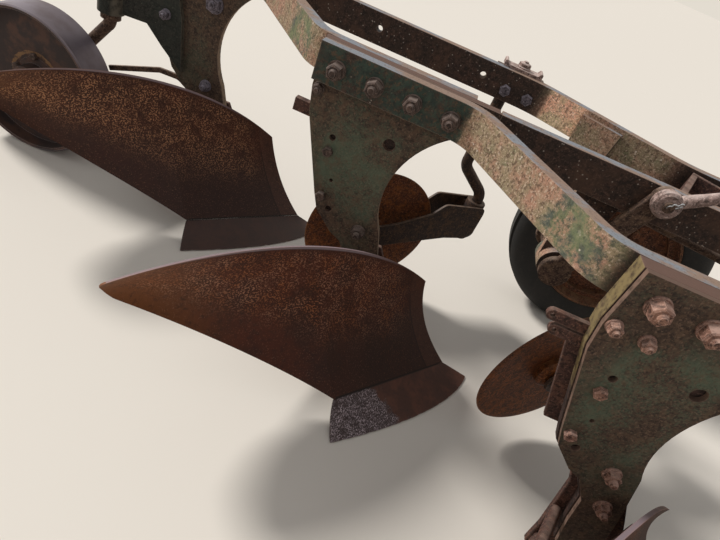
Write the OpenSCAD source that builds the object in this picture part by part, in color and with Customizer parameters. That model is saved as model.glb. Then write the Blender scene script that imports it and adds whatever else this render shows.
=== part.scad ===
// Three-furrow trailed moldboard plough with a truss frame of flat bars.
// X points forward, Y to the land side (left), Z up. The ground is z = 0.
// Everything is laid out from the middle bottom: its first standard bolt is at x = 0,
// the right face of its standard is y = 0. The module place() then moves the
// whole plough so that its origin is the centre of its footprint on the ground.

/* [Bottoms] */
// Width of one furrow, and the sideways step from bottom to bottom
furrow_w = 356; // [340:1:370]
// Fore-and-aft step from bottom to bottom
bottom_gap = 541; // [520:1:570]
// Thickness of a moldboard
board_t = 8; // [6:1:10]

/* [Frame] */
// Thickness of the flat bars and of the standards
bar_t = 26; // [22:1:30]
// Height of the flat bars
bar_h = 70; // [64:1:80]
// Height of the row of frame bolts above the ground
bolt_row_z = 640; // [620:1:660]

/* [Coulters] */
// Radius of a coulter disc
disc_r = 178; // [160:1:186]
// Swing of the front and rear coulters to the right, as they were left standing
coulter_swing = 32; // [0:1:35]
// Swing of the middle coulter
middle_swing = 34; // [0:1:35]
// Turn of the middle coulter's shank in its clamp
middle_turn = 72; // [40:1:90]
// How much higher the middle coulter's shank is clamped
middle_lift = 34; // [0:1:40]
// Diameter of a coulter shank
shank_d = 30; // [26:1:34]

/* [Wheels] */
// Radius of the land wheel's tyre
tyre_r = 290; // [280:1:300]
// Width of the land wheel's tyre
tyre_w = 136; // [120:1:140]
// Radius of the front furrow wheel
furrow_r = 265; // [245:1:275]
// Radius of the rear furrow wheel
rear_r = 190; // [175:1:205]
// Diameter of the cross shafts of the crank axles
shaft_d = 40; // [34:1:44]

/* [Hitch] */
// Length of the drawbar from its hinge to its pin hole
drawbar_len = 900; // [760:10:1000]
// Radius of the drawbar's pin hole
pin_hole_r = 14; // [12:0.5:16]

/* [Hidden] */
$fn = 64;
$fa = 6;
BOTTOMS = [-1, 0, 1];

// Heights of the bars
bar_bottom = bolt_row_z - 36;
bar_top = bar_bottom + bar_h;
// Landside plane, where the share points and the left faces of the landsides lie
land_y = 68;
// Running clearance round the pins and shafts of moving pieces
run = 0.06;

// Footprint: the rear wheel's back, the drawbar's nose, the front board's tail and the land wheel's hub
rear_hub = [-825, furrow_w - 84, rear_r];
land_hub = [848, furrow_w + 196, tyre_r];
furrow_hub = [1250, -furrow_w - 324, furrow_r];
hitch_x = 1600;
hitch_y = -110;
hitch_z = 430;
nose_r = 34;
tail = [-166, -434, 336];
land_stub_out = 16;
bar_half = 14;
nose_x = drawbar_len + nose_r;
// Angle at which the drawbar's nose rests on the ground
droop = asin(hitch_z / norm([nose_x, bar_half])) - atan(bar_half / nose_x);
foot_x = [rear_hub[0] - rear_r, hitch_x + nose_x * cos(droop) + bar_half * sin(droop)];
foot_y = [-furrow_w + tail[1], land_hub[1] + tyre_w / 2 + land_stub_out];

// Crank axles: the hub hangs from the shaft by this vector
crank = [308, -150];
land_shaft = [land_hub[0] - crank[0], land_hub[2] - crank[1]];
furrow_shaft = [furrow_hub[0] - crank[0], furrow_hub[2] - crank[1]];
// Arms on the shafts
lift_arm = [80, 219];
link_arm = [0, 120];
lift_rod_run = [600, 400];

module place() {
  translate([-(foot_x[0] + foot_x[1]) / 2, -(foot_y[0] + foot_y[1]) / 2, 0]) children();
}

// Places a child at each bottom
module each_bottom() {
  for (i = BOTTOMS) at_bottom(i) children();
}

module at_bottom(i) {
  translate([i * bottom_gap, -i * furrow_w, 0]) children();
}

// Extrudes an outline in x and z to the left, starting at y
module slab(y, t) {
  translate([0, y + t, 0]) rotate([90, 0, 0]) linear_extrude(t) children();
}

// Cylinder along Y from y to y + len
module rod_y(x, y, z, d, len) {
  translate([x, y + len, z]) rotate([90, 0, 0]) cylinder(d = d, h = len);
}

// Straight plate, in x and z, from a point along a vector
module strap(from, along, width) {
  translate(from) rotate(atan2(along[1], along[0])) translate([0, -width / 2]) square([norm(along), width]);
}

// Round rod between two points
module rod(a, b, d) {
  v = b - a;
  h = norm(v);
  translate(a) rotate([0, acos(v[2] / h), atan2(v[1], v[0])]) cylinder(d = d, h = h, $fn = 32);
}

// Round rod in the upright plane at y, through points in x and z, bent to a radius at the inner ones.
// A bend is a hair thicker than the rod, and each straight ends inside it.
bend_swell = 0.8;
bend_lap = 3;
function unit(v) = v / norm(v);
function turn(a, b, c) =
  let (u = b - a, w = c - b) atan2(u[0] * w[1] - u[1] * w[0], u[0] * w[0] + u[1] * w[1]);
module bent_rod(y, pts, bend_r, d) {
  last = len(pts) - 1;
  turns = [for (k = [0:last]) k == 0 || k == last ? 0 : turn(pts[k - 1], pts[k], pts[k + 1])];
  for (k = [0:last - 1]) {
    dir = unit(pts[k + 1] - pts[k]);
    a = pts[k] + dir * (k == 0 ? 0 : bend_r * tan(abs(turns[k]) / 2) - bend_lap);
    b = pts[k + 1] - dir * (k == last - 1 ? 0 : bend_r * tan(abs(turns[k + 1]) / 2) - bend_lap);
    rod([a[0], y, a[1]], [b[0], y, b[1]], d);
  }
  for (k = [1:last - 1]) {
    come = unit(pts[k] - pts[k - 1]);
    go = unit(pts[k + 1] - pts[k]);
    centre = pts[k] + unit(go - come) * bend_r / cos(turns[k] / 2);
    from = turns[k] > 0 ? [come[1], -come[0]] : [-go[1], go[0]];
    translate([centre[0], y, centre[1]]) rotate([90, 0, 0]) rotate([0, 0, atan2(from[1], from[0])])
      rotate_extrude(angle = abs(turns[k])) translate([bend_r, 0]) circle(d = d + bend_swell, $fn = 32);
  }
}

// Flat bar on edge that follows a plan path, mitred at its bends
function normal_at(pts, k) =
  let (
    come = unit(pts[max(k, 1)] - pts[max(k, 1) - 1]),
    go = unit(pts[min(k + 1, len(pts) - 1)] - pts[min(k, len(pts) - 2)]),
    mid = unit(come + go)
  ) [-mid[1], mid[0]] / (mid * go);
function side(pts, off) = [for (k = [0:len(pts) - 1]) pts[k] + normal_at(pts, k) * off];
// Points of a path whose inner corners are rounded to a radius
bend_steps = 5;
function rounded(pts, r) = [for (k = [0:len(pts) - 1])
  if (k == 0 || k == len(pts) - 1) pts[k]
  else
    let (
      come = unit(pts[k] - pts[k - 1]),
      go = unit(pts[k + 1] - pts[k]),
      bend = turn(pts[k - 1], pts[k], pts[k + 1]),
      centre = pts[k] + unit(go - come) * r / cos(bend / 2),
      from = sign(bend) * [come[1], -come[0]]
    )
    each [for (i = [0:bend_steps]) let (a = bend * i / bend_steps)
      centre + r * [from[0] * cos(a) - from[1] * sin(a), from[0] * sin(a) + from[1] * cos(a)]]];
module bar_path(pts, z, h, t) {
  near = side(pts, -t / 2);
  far = side(pts, t / 2);
  last = len(pts) - 1;
  translate([0, 0, z]) linear_extrude(h)
    polygon(concat(near, [for (k = [0:last]) far[last - k]]));
}

// Beams
// A short Z-shaped bar joins each standard to the next one ahead: its rear end is on the near face
// of the rear standard and its front end on the far face of the front one, or on the packing plate there.
z_bend_rear = 262;
z_run = 224;
z_end = bottom_gap + 250;
z_bend_r = 75;
slant_bend_r = 220;
pack_t = 14;
module z_bar(pack) {
  drop = furrow_w - 2 * bar_t - pack;
  z_bend_front = z_bend_rear + z_run * drop / (furrow_w - 2 * bar_t);
  bar_path(rounded([
    [-40, -bar_t / 2], [z_bend_rear, -bar_t / 2],
    [z_bend_front, -bar_t / 2 - drop], [z_end, -bar_t / 2 - drop]
  ], z_bend_r), bar_bottom, bar_h, bar_t);
}

front_x = 1540;
arm_end = 300;
FREE_HOLES = [-4, 262];
free_hole_d = 15;
module beams() {
  color("#4a5546") place() {
    z_bar(pack_t);
    at_bottom(-1) z_bar(0);
    // Bar of the rear bottom, which draws in towards the middle one
    difference() {
      bar_path(rounded([
        [-bottom_gap + arm_end, furrow_w + bar_t / 2], [slant_x[0], furrow_w + bar_t / 2],
        [slant_x[1], rear_bar_y], [front_x, rear_bar_y]
      ], slant_bend_r), bar_bottom, bar_h, bar_t);
      for (x = FREE_HOLES) rod_y(x, furrow_w - 1, bolt_row_z, free_hole_d, bar_t + 2);
    }
    // Bar of the middle bottom
    bar_path([[arm_end, bar_t / 2], [front_x, bar_t / 2]], bar_bottom, bar_h, bar_t);
    // Bar of the front bottom
    bar_path([[bottom_gap + arm_end, -furrow_w + bar_t / 2], [front_x, -furrow_w + bar_t / 2]],
      bar_bottom, bar_h, bar_t);
  }
}

// Cross members: a channel spacer between the rear and middle bars, square to the slanted one,
// a stay between the middle and front bars, and the head bar
spacer_x = 655;
spacer_t = 12;
spacer_flange = 90;
stay_x = 1050;
stay_t = 24;
stay_inset = 8;
head_t = 20;
head_over = 30;
module cross_members() {
  color("#5a3e2f") place() {
    spacer();
    translate([stay_x, -furrow_w + bar_t, bar_bottom + stay_inset])
      cube([stay_t, furrow_w - bar_t, bar_h - 2 * stay_inset]);
    translate([front_x, -furrow_w - head_over, bar_bottom])
      cube([head_t, furrow_w + rear_bar_y + bar_t + 2 * head_over, bar_h]);
  }
}
// The web starts at the middle bar and ends at the right face of the slanted bar
module spacer() {
  web_dir = [-sin(slant), cos(slant)];
  near = [spacer_x, bar_t];
  to_face = ((slant_x[0] - near[0]) * web_dir[0] + (furrow_w + bar_t / 2 - near[1]) * web_dir[1]) - bar_t / 2;
  far = near + web_dir * to_face;
  ahead = [cos(slant), sin(slant)];
  translate([0, 0, bar_bottom + 4]) linear_extrude(bar_h - 8) polygon([
    near, far, far + ahead * spacer_flange, far + ahead * spacer_flange - web_dir * spacer_t,
    far + (ahead - web_dir) * spacer_t,
    [near[0] + spacer_t * (1 + tan(-slant)) / cos(slant), near[1] + spacer_t],
    [near[0] + spacer_flange, near[1] + spacer_t], [near[0] + spacer_flange, near[1]]
  ]);
}

// Standard: two plates back to back with a forward arm, a round throat and a leg that leans forward
throat_r = 196;
throat_c = [357, -200];
near_t = 10;
back_step = 3;
module standard_outline() {
  difference() {
    polygon([
      [-40, bar_top - bolt_row_z], [arm_end, bar_top - bolt_row_z], [arm_end, bar_bottom - bolt_row_z],
      [238, -46], [177, -266], [223, -407], [250, -505], [182, -540], [161, -466], [147, -401],
      [113, -353], [86, -341], [42, -300], [27, -265], [-32, -106], [-40, -58]
    ]);
    translate(throat_c) circle(r = throat_r, $fn = 128);
  }
}

STANDARD_HOLES = [[27, -136, 13], [66, -290, 15], [135, -103, 24], [52, -224, 8], [222, -30, 12]];
module holed_standard() {
  difference() {
    standard_outline();
    for (h = STANDARD_HOLES) translate([h[0], h[1]]) circle(d = h[2]);
  }
}
module standards() {
  color("#44503f") place() each_bottom() translate([0, 0, bolt_row_z]) slab(0, near_t) holed_standard();
}
// The back plate is set back a little, so that its edge shows behind the near one. It closes the holes.
// The front standard also has a packing plate between its top and the Z-shaped bar.
pack_low = -84;
pack_cut = 50;
module standard_backs() {
  color("#5d5638") place() {
    each_bottom() translate([-back_step, 0, bolt_row_z]) slab(near_t, bar_t - near_t) standard_outline();
    at_bottom(1) translate([-back_step, 0, bolt_row_z]) slab(bar_t, pack_t) intersection() {
      standard_outline();
      translate([-arm_end, pack_low]) square([2 * arm_end - pack_cut, bar_top - bolt_row_z - pack_low]);
    }
  }
}

// On the front standard a thin strip goes down the far side of the back edge, with two straps that end
// in eyes. The other standards have one square peg there.
strip_y = bar_t + 9;
strip_t = 7;
strap_t = 9;
strap_w = 18;
strap_len = 75;
strap_hole = 7;
stud_d = 16;
STRAPS = [[-89, -95], [-74, -117]];
STUDS = [[-12, -140], [22, -240]];
peg = [60, 16, 26];
peg_at = [-71, -127];
module standard_pegs() {
  color("#6b4a3c") place() translate([0, 0, bolt_row_z]) {
    for (i = [-1, 0]) at_bottom(i) translate([peg_at[0], bar_t, peg_at[1]]) cube(peg);
    at_bottom(1) {
      slab(strip_y, strip_t) polygon([[-52, -112], [-20, -112], [42, -286], [10, -286]]);
      for (at = STUDS) rod_y(at[0], bar_t, at[1], stud_d, strip_y - bar_t + strip_t / 2);
      for (at = STRAPS) slab(bar_t, strap_t) difference() {
        union() {
          translate(at) circle(d = strap_w);
          translate(at - [0, strap_w / 2]) square([strap_len, strap_w]);
        }
        translate(at) circle(d = strap_hole, $fn = 24);
      }
    }
  }
}

// Moldboard, a lofted shell. u runs from the shin (0) to the tail (1), v from the bottom edge to the top.
function mix(a, b, t) = a + (b - a) * t;
function bezier(p, t) =
  p[0] * pow(1 - t, 3) + p[1] * 3 * t * pow(1 - t, 2) + p[2] * 3 * t * t * (1 - t) + p[3] * pow(t, 3);
// Seam with the share, from the shin to the wing
seam_front = [478, land_y - 6, 24];
seam_wing = [243, -212, 47];
shin_top = [336, land_y, 234];
BOTTOM_EDGE = [seam_wing, [121, -220, 84], [-70, -278, 156], [-180, -401, 284]];
TOP_EDGE = [shin_top, [160, -68, 386], [-24, -302, 414], tail];
seam_u = 0.42;
function board_low(u) = u < seam_u
  ? mix(seam_front, seam_wing, u / seam_u)
  : bezier(BOTTOM_EDGE, (u - seam_u) / (1 - seam_u));
function board_high(u) = bezier(TOP_EDGE, u);
// The board is hollow towards the front and right: this is how far it sags from the chord
function board_sag(u) = 46 * (1 - u) + 34 * u;
function board_dir(u) = mix([-0.42, 0.55, -0.55], [-0.5, 0.62, -0.2], u);
function board_point(u, v) =
  mix(board_low(u), board_high(u), v) + board_dir(u) * board_sag(u) * 4 * v * (1 - v);

// Closed shell between a grid of points and the same grid moved by a vector
module shell(grid, move) {
  nu = len(grid);
  nv = len(grid[0]);
  front = [for (row = grid) for (p = row) p];
  back = [for (p = front) p + move];
  n = nu * nv;
  function id(i, j) = i * nv + j;
  top = [for (i = [0:nu - 2]) for (j = [0:nv - 2]) each [
    [id(i, j), id(i + 1, j), id(i, j + 1)], [id(i, j + 1), id(i + 1, j), id(i + 1, j + 1)]
  ]];
  low = [for (f = top) [n + f[2], n + f[1], n + f[0]]];
  rim = concat(
    [for (j = [0:nv - 2]) id(0, j)], [for (i = [0:nu - 2]) id(i, nv - 1)],
    [for (j = [nv - 1:-1:1]) id(nu - 1, j)], [for (i = [nu - 1:-1:1]) id(i, 0)]
  );
  m = len(rim);
  side = [for (k = [0:m - 1]) let (a = rim[k], b = rim[(k + 1) % m]) each [[a, b, a + n], [b, b + n, a + n]]];
  polyhedron(points = concat(front, back), faces = concat(top, low, side));
}

board_steps = 16;
board_rows = 8;
back_dir = [-0.55, 0.72, -0.42];
// Part of the board's own grid, moved back: what bears on the board uses it, so the faces lie flat
function board_patch(us, vs, back) =
  [for (i = us) [for (j = vs) board_point(i / board_steps, j / board_rows) + back_dir * back]];
module moldboards() {
  color("#4a2a1c") place() each_bottom()
    shell(board_patch([0:board_steps], [0:board_rows], 0), back_dir * board_t);
}

// Share: from the point and the curved cutting edge up to the seam
share_point = [552, land_y + 2, 0];
share_wing = [271, -285, 0];
CUTTING_EDGE = [share_point, [540, -10, 0], [455, -135, 0], share_wing];
share_rows = 4;
share_steps = 12;
share_gap = 0.6;
share_lift = [0, 0, 4];
share_hollow = [-4, 6, -4];
share_back = [-2, 3, -4];
function share_low(u) = bezier(CUTTING_EDGE, u);
function share_high(u) =
  let (seam = mix(seam_front, seam_wing, u)) seam + unit(share_low(u) - seam) * share_gap;
function share_point_at(u, v) =
  mix(share_low(u), share_high(u), v) + share_lift * (1 - v) + share_hollow * 4 * v * (1 - v);
module shares() {
  color("#3f3330") place() each_bottom() shell(
    [for (i = [0:share_steps]) [for (j = [0:share_rows]) share_point_at(i / share_steps, j / share_rows)]],
    share_back
  );
}

// Frog: a side plate behind the leg, a foot on the landside and a saddle behind the moldboard
frog_t = 12;
foot_x0 = 170;
foot_len = 150;
foot_z = [34, 84];
saddle_gap = 0.3;
saddle_t = 9;
landside_t = 12;
module frogs() {
  color("#4b3227") place() each_bottom() {
    slab(bar_t, frog_t) polygon([
      [100, 296], [126, 240], [152, 96], [158, 30], [360, 30], [312, 110], [262, 200], [205, 296]
    ]);
    translate([foot_x0, bar_t + frog_t, foot_z[0]])
      cube([foot_len, land_y - landside_t - bar_t - frog_t, foot_z[1] - foot_z[0]]);
    shell(board_patch([2:7], [1:6], board_t + saddle_gap), back_dir * saddle_t);
  }
}

// Landside: a flat bar that slides along the furrow wall, long on the rear bottom and short on the others
short_rear = 226;
long_rear = -20;
module landside(rear) {
  slab(land_y - landside_t, landside_t) polygon([
    [436, 2], [rear, 0], [rear, 90], [250, 96], [340, 96], [380, 64], [436, 12]
  ]);
}
module landsides() {
  color("#46342c") place() {
    for (i = [0, 1]) at_bottom(i) landside(short_rear);
    at_bottom(-1) landside(long_rear);
  }
}

// Round braces from the frog to pads on the back of the moldboard
brace_d = 20;
pad_t = 12;
brace_sink = 1;
brace_lap = 6;
brace_clear = 60;
module board_brace(from, us, vs) {
  u = (us[0] + us[1]) / 2 / board_steps;
  v = (vs[0] + vs[1]) / 2 / board_rows;
  difference() {
    rod(from + [0, brace_lap, 0],
      board_point(u, v) + back_dir * (board_t + saddle_gap + pad_t - brace_sink), brace_d);
    translate(from - [brace_clear, 0, brace_clear]) cube([2 * brace_clear, brace_clear, 2 * brace_clear]);
  }
  shell(board_patch([us[0]:us[1]], [vs[0]:vs[1]], board_t + saddle_gap), back_dir * pad_t);
}
module board_braces() {
  color("#6a4334") place() each_bottom() {
    board_brace([152, bar_t, 157], [9, 11], [5, 6]);
    board_brace([178, bar_t, 60], [11, 13], [2, 3]);
  }
}

// Coulter: a clamp on the bar, a cranked shank, a swivelling yoke and the disc.
// Each shank can be turned and raised in its clamp, and each yoke swings on its shank.
coulter_y = bar_t + 18;
shank_x = 870;
shank_crank = 75;
shank_bends = [404, 346];
shank_bend_r = 34;
shank_over = 6;
sleeve_z = [216, 322];
sleeve_wall = 12;
hub_z = disc_r + 12;
trail = 285;
clamp_x = [826, 946];
clamp_deep = 44;
clamp_wall = 13;
clamp_inset = 6;
function shank_turn(i) = i == 0 ? middle_turn : 0;
function shank_lift(i) = i == 0 ? middle_lift : 0;
function swing(i) = i == 0 ? middle_swing : coulter_swing;
module coulter_clamps() {
  color("#5b4034") place() each_bottom() difference() {
    union() {
      translate([clamp_x[0], bar_t, bar_bottom + clamp_inset])
        cube([clamp_x[1] - clamp_x[0], clamp_deep, bar_h - 2 * clamp_inset]);
      translate([shank_x, coulter_y, bar_bottom + clamp_inset])
        cylinder(d = shank_d + 2 * clamp_wall, h = bar_h - clamp_inset);
    }
    translate([shank_x, coulter_y, bar_bottom]) cylinder(r = shank_d / 2 + 0.3, h = bar_h + 1);
    translate([clamp_x[0], 0, bar_bottom]) cube([clamp_x[1] - clamp_x[0], bar_t, bar_h + 1]);
  }
}

// Places a child, drawn with the shank's axis at x = 0 and y = 0, in the clamp of bottom i
module in_clamp(i) {
  at_bottom(i) translate([shank_x, coulter_y, shank_lift(i)]) rotate([0, 0, shank_turn(i)]) children();
}
collar_d = 46;
collar_h = 13;
collar_gap = 1;
module coulter_shanks() {
  color("#5e3d30") place() for (i = BOTTOMS) in_clamp(i) {
    bent_rod(0, [
      [0, bar_top + shank_over], [0, shank_bends[0]],
      [shank_crank, shank_bends[1]], [shank_crank, sleeve_z[0] - collar_h - 2]
    ], shank_bend_r, shank_d);
    translate([shank_crank, 0, sleeve_z[0] - collar_gap - collar_h]) cylinder(d = collar_d, h = collar_h);
  }
}

// The yoke and the disc are drawn straight behind the swivel and swung to the side together
module swung(i) {
  in_clamp(i) translate([shank_crank, 0, 0]) rotate([0, 0, swing(i) - shank_turn(i)]) children();
}

yoke_arm_t = 7;
yoke_half = 26;
hub_eye_r = 32;
hub_pin_d = 18;
hub_pin_over = 16;
filler = [36, 8, 80];
filler_at = [-22, 230];
module yoke(i) {
  color("#3b2d27") place() swung(i) {
    difference() {
      translate([0, 0, sleeve_z[0]]) cylinder(d = shank_d + 2 * sleeve_wall, h = sleeve_z[1] - sleeve_z[0]);
      translate([0, 0, sleeve_z[0] - 1]) cylinder(r = shank_d / 2 + run, h = sleeve_z[1] - sleeve_z[0] + 2);
    }
    for (y = [-yoke_half - yoke_arm_t, yoke_half]) slab(y, yoke_arm_t) {
      polygon([
        [14, 318], [18, 300], [18, 226], [0, 214], [-70, 208], [-200, 176], [-250, hub_z - 28],
        [-trail, hub_z - hub_eye_r], [-trail, hub_z + hub_eye_r], [-230, 238], [-142, 280], [-110, 316]
      ]);
      translate([-trail, hub_z]) circle(r = hub_eye_r);
    }
    for (y = [-yoke_half - 1, yoke_half + 1 - filler[1]])
      translate([filler_at[0], y, filler_at[1]]) cube(filler);
    rod_y(-trail, -yoke_half - hub_pin_over, hub_z, hub_pin_d, 2 * (yoke_half + hub_pin_over));
  }
}

disc_t = 5;
hub_d = 84;
hub_w = 42;
module coulter_disc(i) {
  color("#3e2318") place() swung(i) difference() {
    union() {
      rod_y(-trail, -disc_t / 2, hub_z, 2 * disc_r, disc_t);
      rod_y(-trail, -hub_w / 2, hub_z, hub_d, hub_w);
    }
    rod_y(-trail, -hub_w, hub_z, hub_pin_d + 2 * run, 2 * hub_w);
  }
}

module yoke_front() { yoke(1); }
module yoke_middle() { yoke(0); }
module yoke_rear() { yoke(-1); }
module disc_front() { coulter_disc(1); }
module disc_middle() { coulter_disc(0); }
module disc_rear() { coulter_disc(-1); }

// Hangers that carry the cross shafts under the bars
hanger_t = 14;
sleeve_len = 56;
sleeve_d = 68;
module hanger(at, y, slant) {
  difference() {
    union() {
      translate([at[0], y, 0]) rotate([0, 0, slant]) slab(0, hanger_t) polygon([
        [-48, bar_top - 10], [48, bar_top - 10], [sleeve_d / 2, at[1]], [-sleeve_d / 2, at[1]]
      ]);
      rod_y(at[0], y + hanger_t / 2 - sleeve_len / 2, at[1], sleeve_d, sleeve_len);
    }
    rod_y(at[0], y - sleeve_len, at[1], shaft_d + 2 * run, 2 * sleeve_len);
  }
}
// Slanted part of the rear bottom's bar
slant_x = [397, 727];
rear_bar_y = furrow_w - 140;
slant = atan2(rear_bar_y - furrow_w - bar_t / 2, slant_x[1] - slant_x[0]);
// The hanger's left face lies on the bar's right face where the shaft crosses it
slant_face_y = furrow_w + bar_t / 2 + (land_shaft[0] - slant_x[0]) * tan(slant) - bar_t / 2 / cos(slant);
module shaft_hangers() {
  color("#43302a") place() {
    hanger(land_shaft, bar_t, 0);
    hanger(land_shaft, slant_face_y - hanger_t / cos(slant), slant);
    hanger(furrow_shaft, -furrow_w - hanger_t, 0);
    hanger(furrow_shaft, -hanger_t, 0);
  }
}

// Crank axle: cross shaft, crank to the wheel's hub, stub, and arms
crank_w = 48;
crank_t = 24;
stub_d = 38;
lift_arm_w = 40;
link_arm_w = 32;
link_arm_t = 16;
land_arm_y = -21;
land_arm_t = 15;
link_y = 130;
rod_pin_d = 20;
module land_axle() {
  color("#4d3328") place() {
    rod_y(land_shaft[0], land_arm_y, land_shaft[1], shaft_d, land_hub[1] - tyre_w / 2 - 24 - land_arm_y);
    slab(land_hub[1] - tyre_w / 2 - 2 * crank_t, crank_t) union() {
      translate(land_shaft) circle(d = 66);
      translate([land_hub[0], land_hub[2]]) circle(d = 60);
      strap(land_shaft, crank, crank_w);
    }
    rod_y(land_hub[0], land_hub[1] - tyre_w / 2 - 30, land_hub[2], stub_d, tyre_w + 30 + land_stub_out);
    slab(land_arm_y, land_arm_t) union() {
      translate(land_shaft) circle(d = 64);
      translate(land_shaft + lift_arm) circle(d = 44);
      strap(land_shaft, lift_arm, lift_arm_w);
    }
    rod_y(land_shaft[0] + lift_arm[0], land_arm_y - 32, land_shaft[1] + lift_arm[1], rod_pin_d, 33);
    slab(link_y, link_arm_t) union() {
      translate(land_shaft) circle(d = 60);
      translate(land_shaft + link_arm) circle(d = 40);
      strap(land_shaft, link_arm, link_arm_w);
    }
    rod_y(land_shaft[0] + link_arm[0], link_y + 15, land_shaft[1] + link_arm[1], rod_pin_d, 31);
  }
}

rim_r = 186;
module land_rim() {
  color("#5c3a2c") place() difference() {
    union() {
      rod_y(land_hub[0], land_hub[1] - 12, land_hub[2], 2 * rim_r, 8);
      difference() {
        rod_y(land_hub[0], land_hub[1] - tyre_w / 2 + 6, land_hub[2], 2 * rim_r + 4, tyre_w - 12);
        rod_y(land_hub[0], land_hub[1] - tyre_w / 2, land_hub[2], 2 * rim_r - 8, tyre_w);
      }
      rod_y(land_hub[0], land_hub[1] - tyre_w / 2 - 16, land_hub[2], 96, tyre_w + 28);
    }
    rod_y(land_hub[0], land_hub[1] - tyre_w, land_hub[2], stub_d + 2 * run, 2 * tyre_w);
  }
}

module land_tyre() {
  color("#1b1b1b") place() translate(land_hub) rotate([90, 0, 0]) rotate_extrude($fn = 128) polygon([
    [rim_r + 2, -tyre_w / 2 + 12], [rim_r + 14, -tyre_w / 2 + 4], [tyre_r - 60, -tyre_w / 2],
    [tyre_r - 24, -tyre_w / 2 + 8], [tyre_r - 6, -tyre_w / 2 + 26], [tyre_r, -14],
    [tyre_r, 14], [tyre_r - 6, tyre_w / 2 - 26], [tyre_r - 24, tyre_w / 2 - 8],
    [tyre_r - 60, tyre_w / 2], [rim_r + 14, tyre_w / 2 - 4], [rim_r + 2, tyre_w / 2 - 12]
  ]);
}

// Front furrow wheel's crank axle and the steel wheel
furrow_rim_w = 76;
module furrow_axle() {
  color("#4d3328") place() {
    y_in = furrow_hub[1] + furrow_rim_w / 2 + 14;
    rod_y(furrow_shaft[0], y_in, furrow_shaft[1], shaft_d, link_y + 16 - y_in);
    slab(y_in, crank_t) union() {
      translate(furrow_shaft) circle(d = 66);
      translate([furrow_hub[0], furrow_hub[2]]) circle(d = 60);
      strap(furrow_shaft, crank, crank_w);
    }
    rod_y(furrow_hub[0], furrow_hub[1] - 56, furrow_hub[2], stub_d, furrow_rim_w / 2 + 76);
    slab(link_y, link_arm_t) union() {
      translate(furrow_shaft) circle(d = 60);
      translate(furrow_shaft + link_arm) circle(d = 40);
      strap(furrow_shaft, link_arm, link_arm_w);
    }
    rod_y(furrow_shaft[0] + link_arm[0], link_y + 15, furrow_shaft[1] + link_arm[1], rod_pin_d, 31);
  }
}

// Steel wheel: wide rim, dished web and a hub
module steel_wheel(hub, r, w, bore) {
  difference() {
    union() {
      difference() {
        rod_y(hub[0], hub[1] - w / 2, hub[2], 2 * r, w);
        rod_y(hub[0], hub[1] - w / 2 - 1, hub[2], 2 * r - 18, w + 2);
      }
      rod_y(hub[0], hub[1] - 5, hub[2], 2 * r - 10, 8);
      rod_y(hub[0], hub[1] - w / 2 - 4, hub[2], 84, w + 8);
    }
    rod_y(hub[0], hub[1] - w, hub[2], bore + 2 * run, 2 * w);
  }
}

module furrow_wheel() {
  color("#5b4a44") place() steel_wheel(furrow_hub, furrow_r, furrow_rim_w, stub_d);
}

// Rear furrow wheel: an arm behind the rear standard, a swivelling cranked axle and the wheel
rear_pivot = [-672, furrow_w - 10];
rear_rim_w = 100;
rear_arm_z = 422;
rear_arm_h = 92;
rear_plate_t = 14;
rear_lap = 24;
pivot_d = 34;
pivot_sleeve_d = 66;
pivot_sleeve = [-6, 120];
pivot_collar_d = 50;
pivot_collar_h = 15.5;
rear_rod_d = 30;
rear_bend_z = rear_arm_z - 34;
module rear_bracket() {
  color("#2f3a31") place() {
    // Plate on the right face of the rear standard, with the arm behind it
    translate([-bottom_gap, 0, 0]) slab(furrow_w - rear_plate_t, rear_plate_t) difference() {
      polygon([
        [-40, bar_bottom - 6], [30, bar_bottom - 6], [62, 470], [76, 340], [17, 385], [-30, 427],
        [-100, rear_arm_z], [rear_pivot[0] + bottom_gap + rear_lap, rear_arm_z],
        [rear_pivot[0] + bottom_gap + rear_lap, rear_arm_z + rear_arm_h], [-52, rear_arm_z + rear_arm_h]
      ]);
      translate([20, 470]) circle(d = 14);
    }
    difference() {
      union() {
        translate([rear_pivot[0], rear_pivot[1], rear_arm_z + pivot_sleeve[0]])
          cylinder(d = pivot_sleeve_d, h = pivot_sleeve[1] - pivot_sleeve[0]);
        translate([rear_pivot[0], furrow_w - rear_plate_t, rear_arm_z + 8])
          cube([60, rear_plate_t, rear_arm_h - 16]);
      }
      translate([rear_pivot[0], rear_pivot[1], rear_arm_z - 60]) cylinder(d = pivot_d + 2 * run, h = 200);
    }
  }
}

module rear_axle() {
  color("#5a4238") place() {
    collar_z = rear_arm_z + pivot_sleeve[0] - pivot_collar_h - 0.5;
    translate([rear_pivot[0], rear_pivot[1], collar_z + 2]) cylinder(d = pivot_d, h = 150);
    translate([rear_pivot[0], rear_pivot[1], collar_z]) cylinder(d = pivot_collar_d, h = pivot_collar_h);
    bent_rod(rear_pivot[1], [
      [rear_pivot[0], collar_z + 10], [rear_pivot[0], rear_bend_z], [rear_hub[0], rear_hub[2]]
    ], rear_rod_d, rear_rod_d);
    rod_y(rear_hub[0], rear_hub[1] - rear_rim_w / 2, rear_hub[2], rear_rod_d,
      rear_pivot[1] - rear_hub[1] + rear_rim_w / 2 + rear_rod_d / 2);
  }
}

module rear_wheel() {
  color("#57484a") place() steel_wheel(rear_hub, rear_r, rear_rim_w, rear_rod_d);
}

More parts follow.
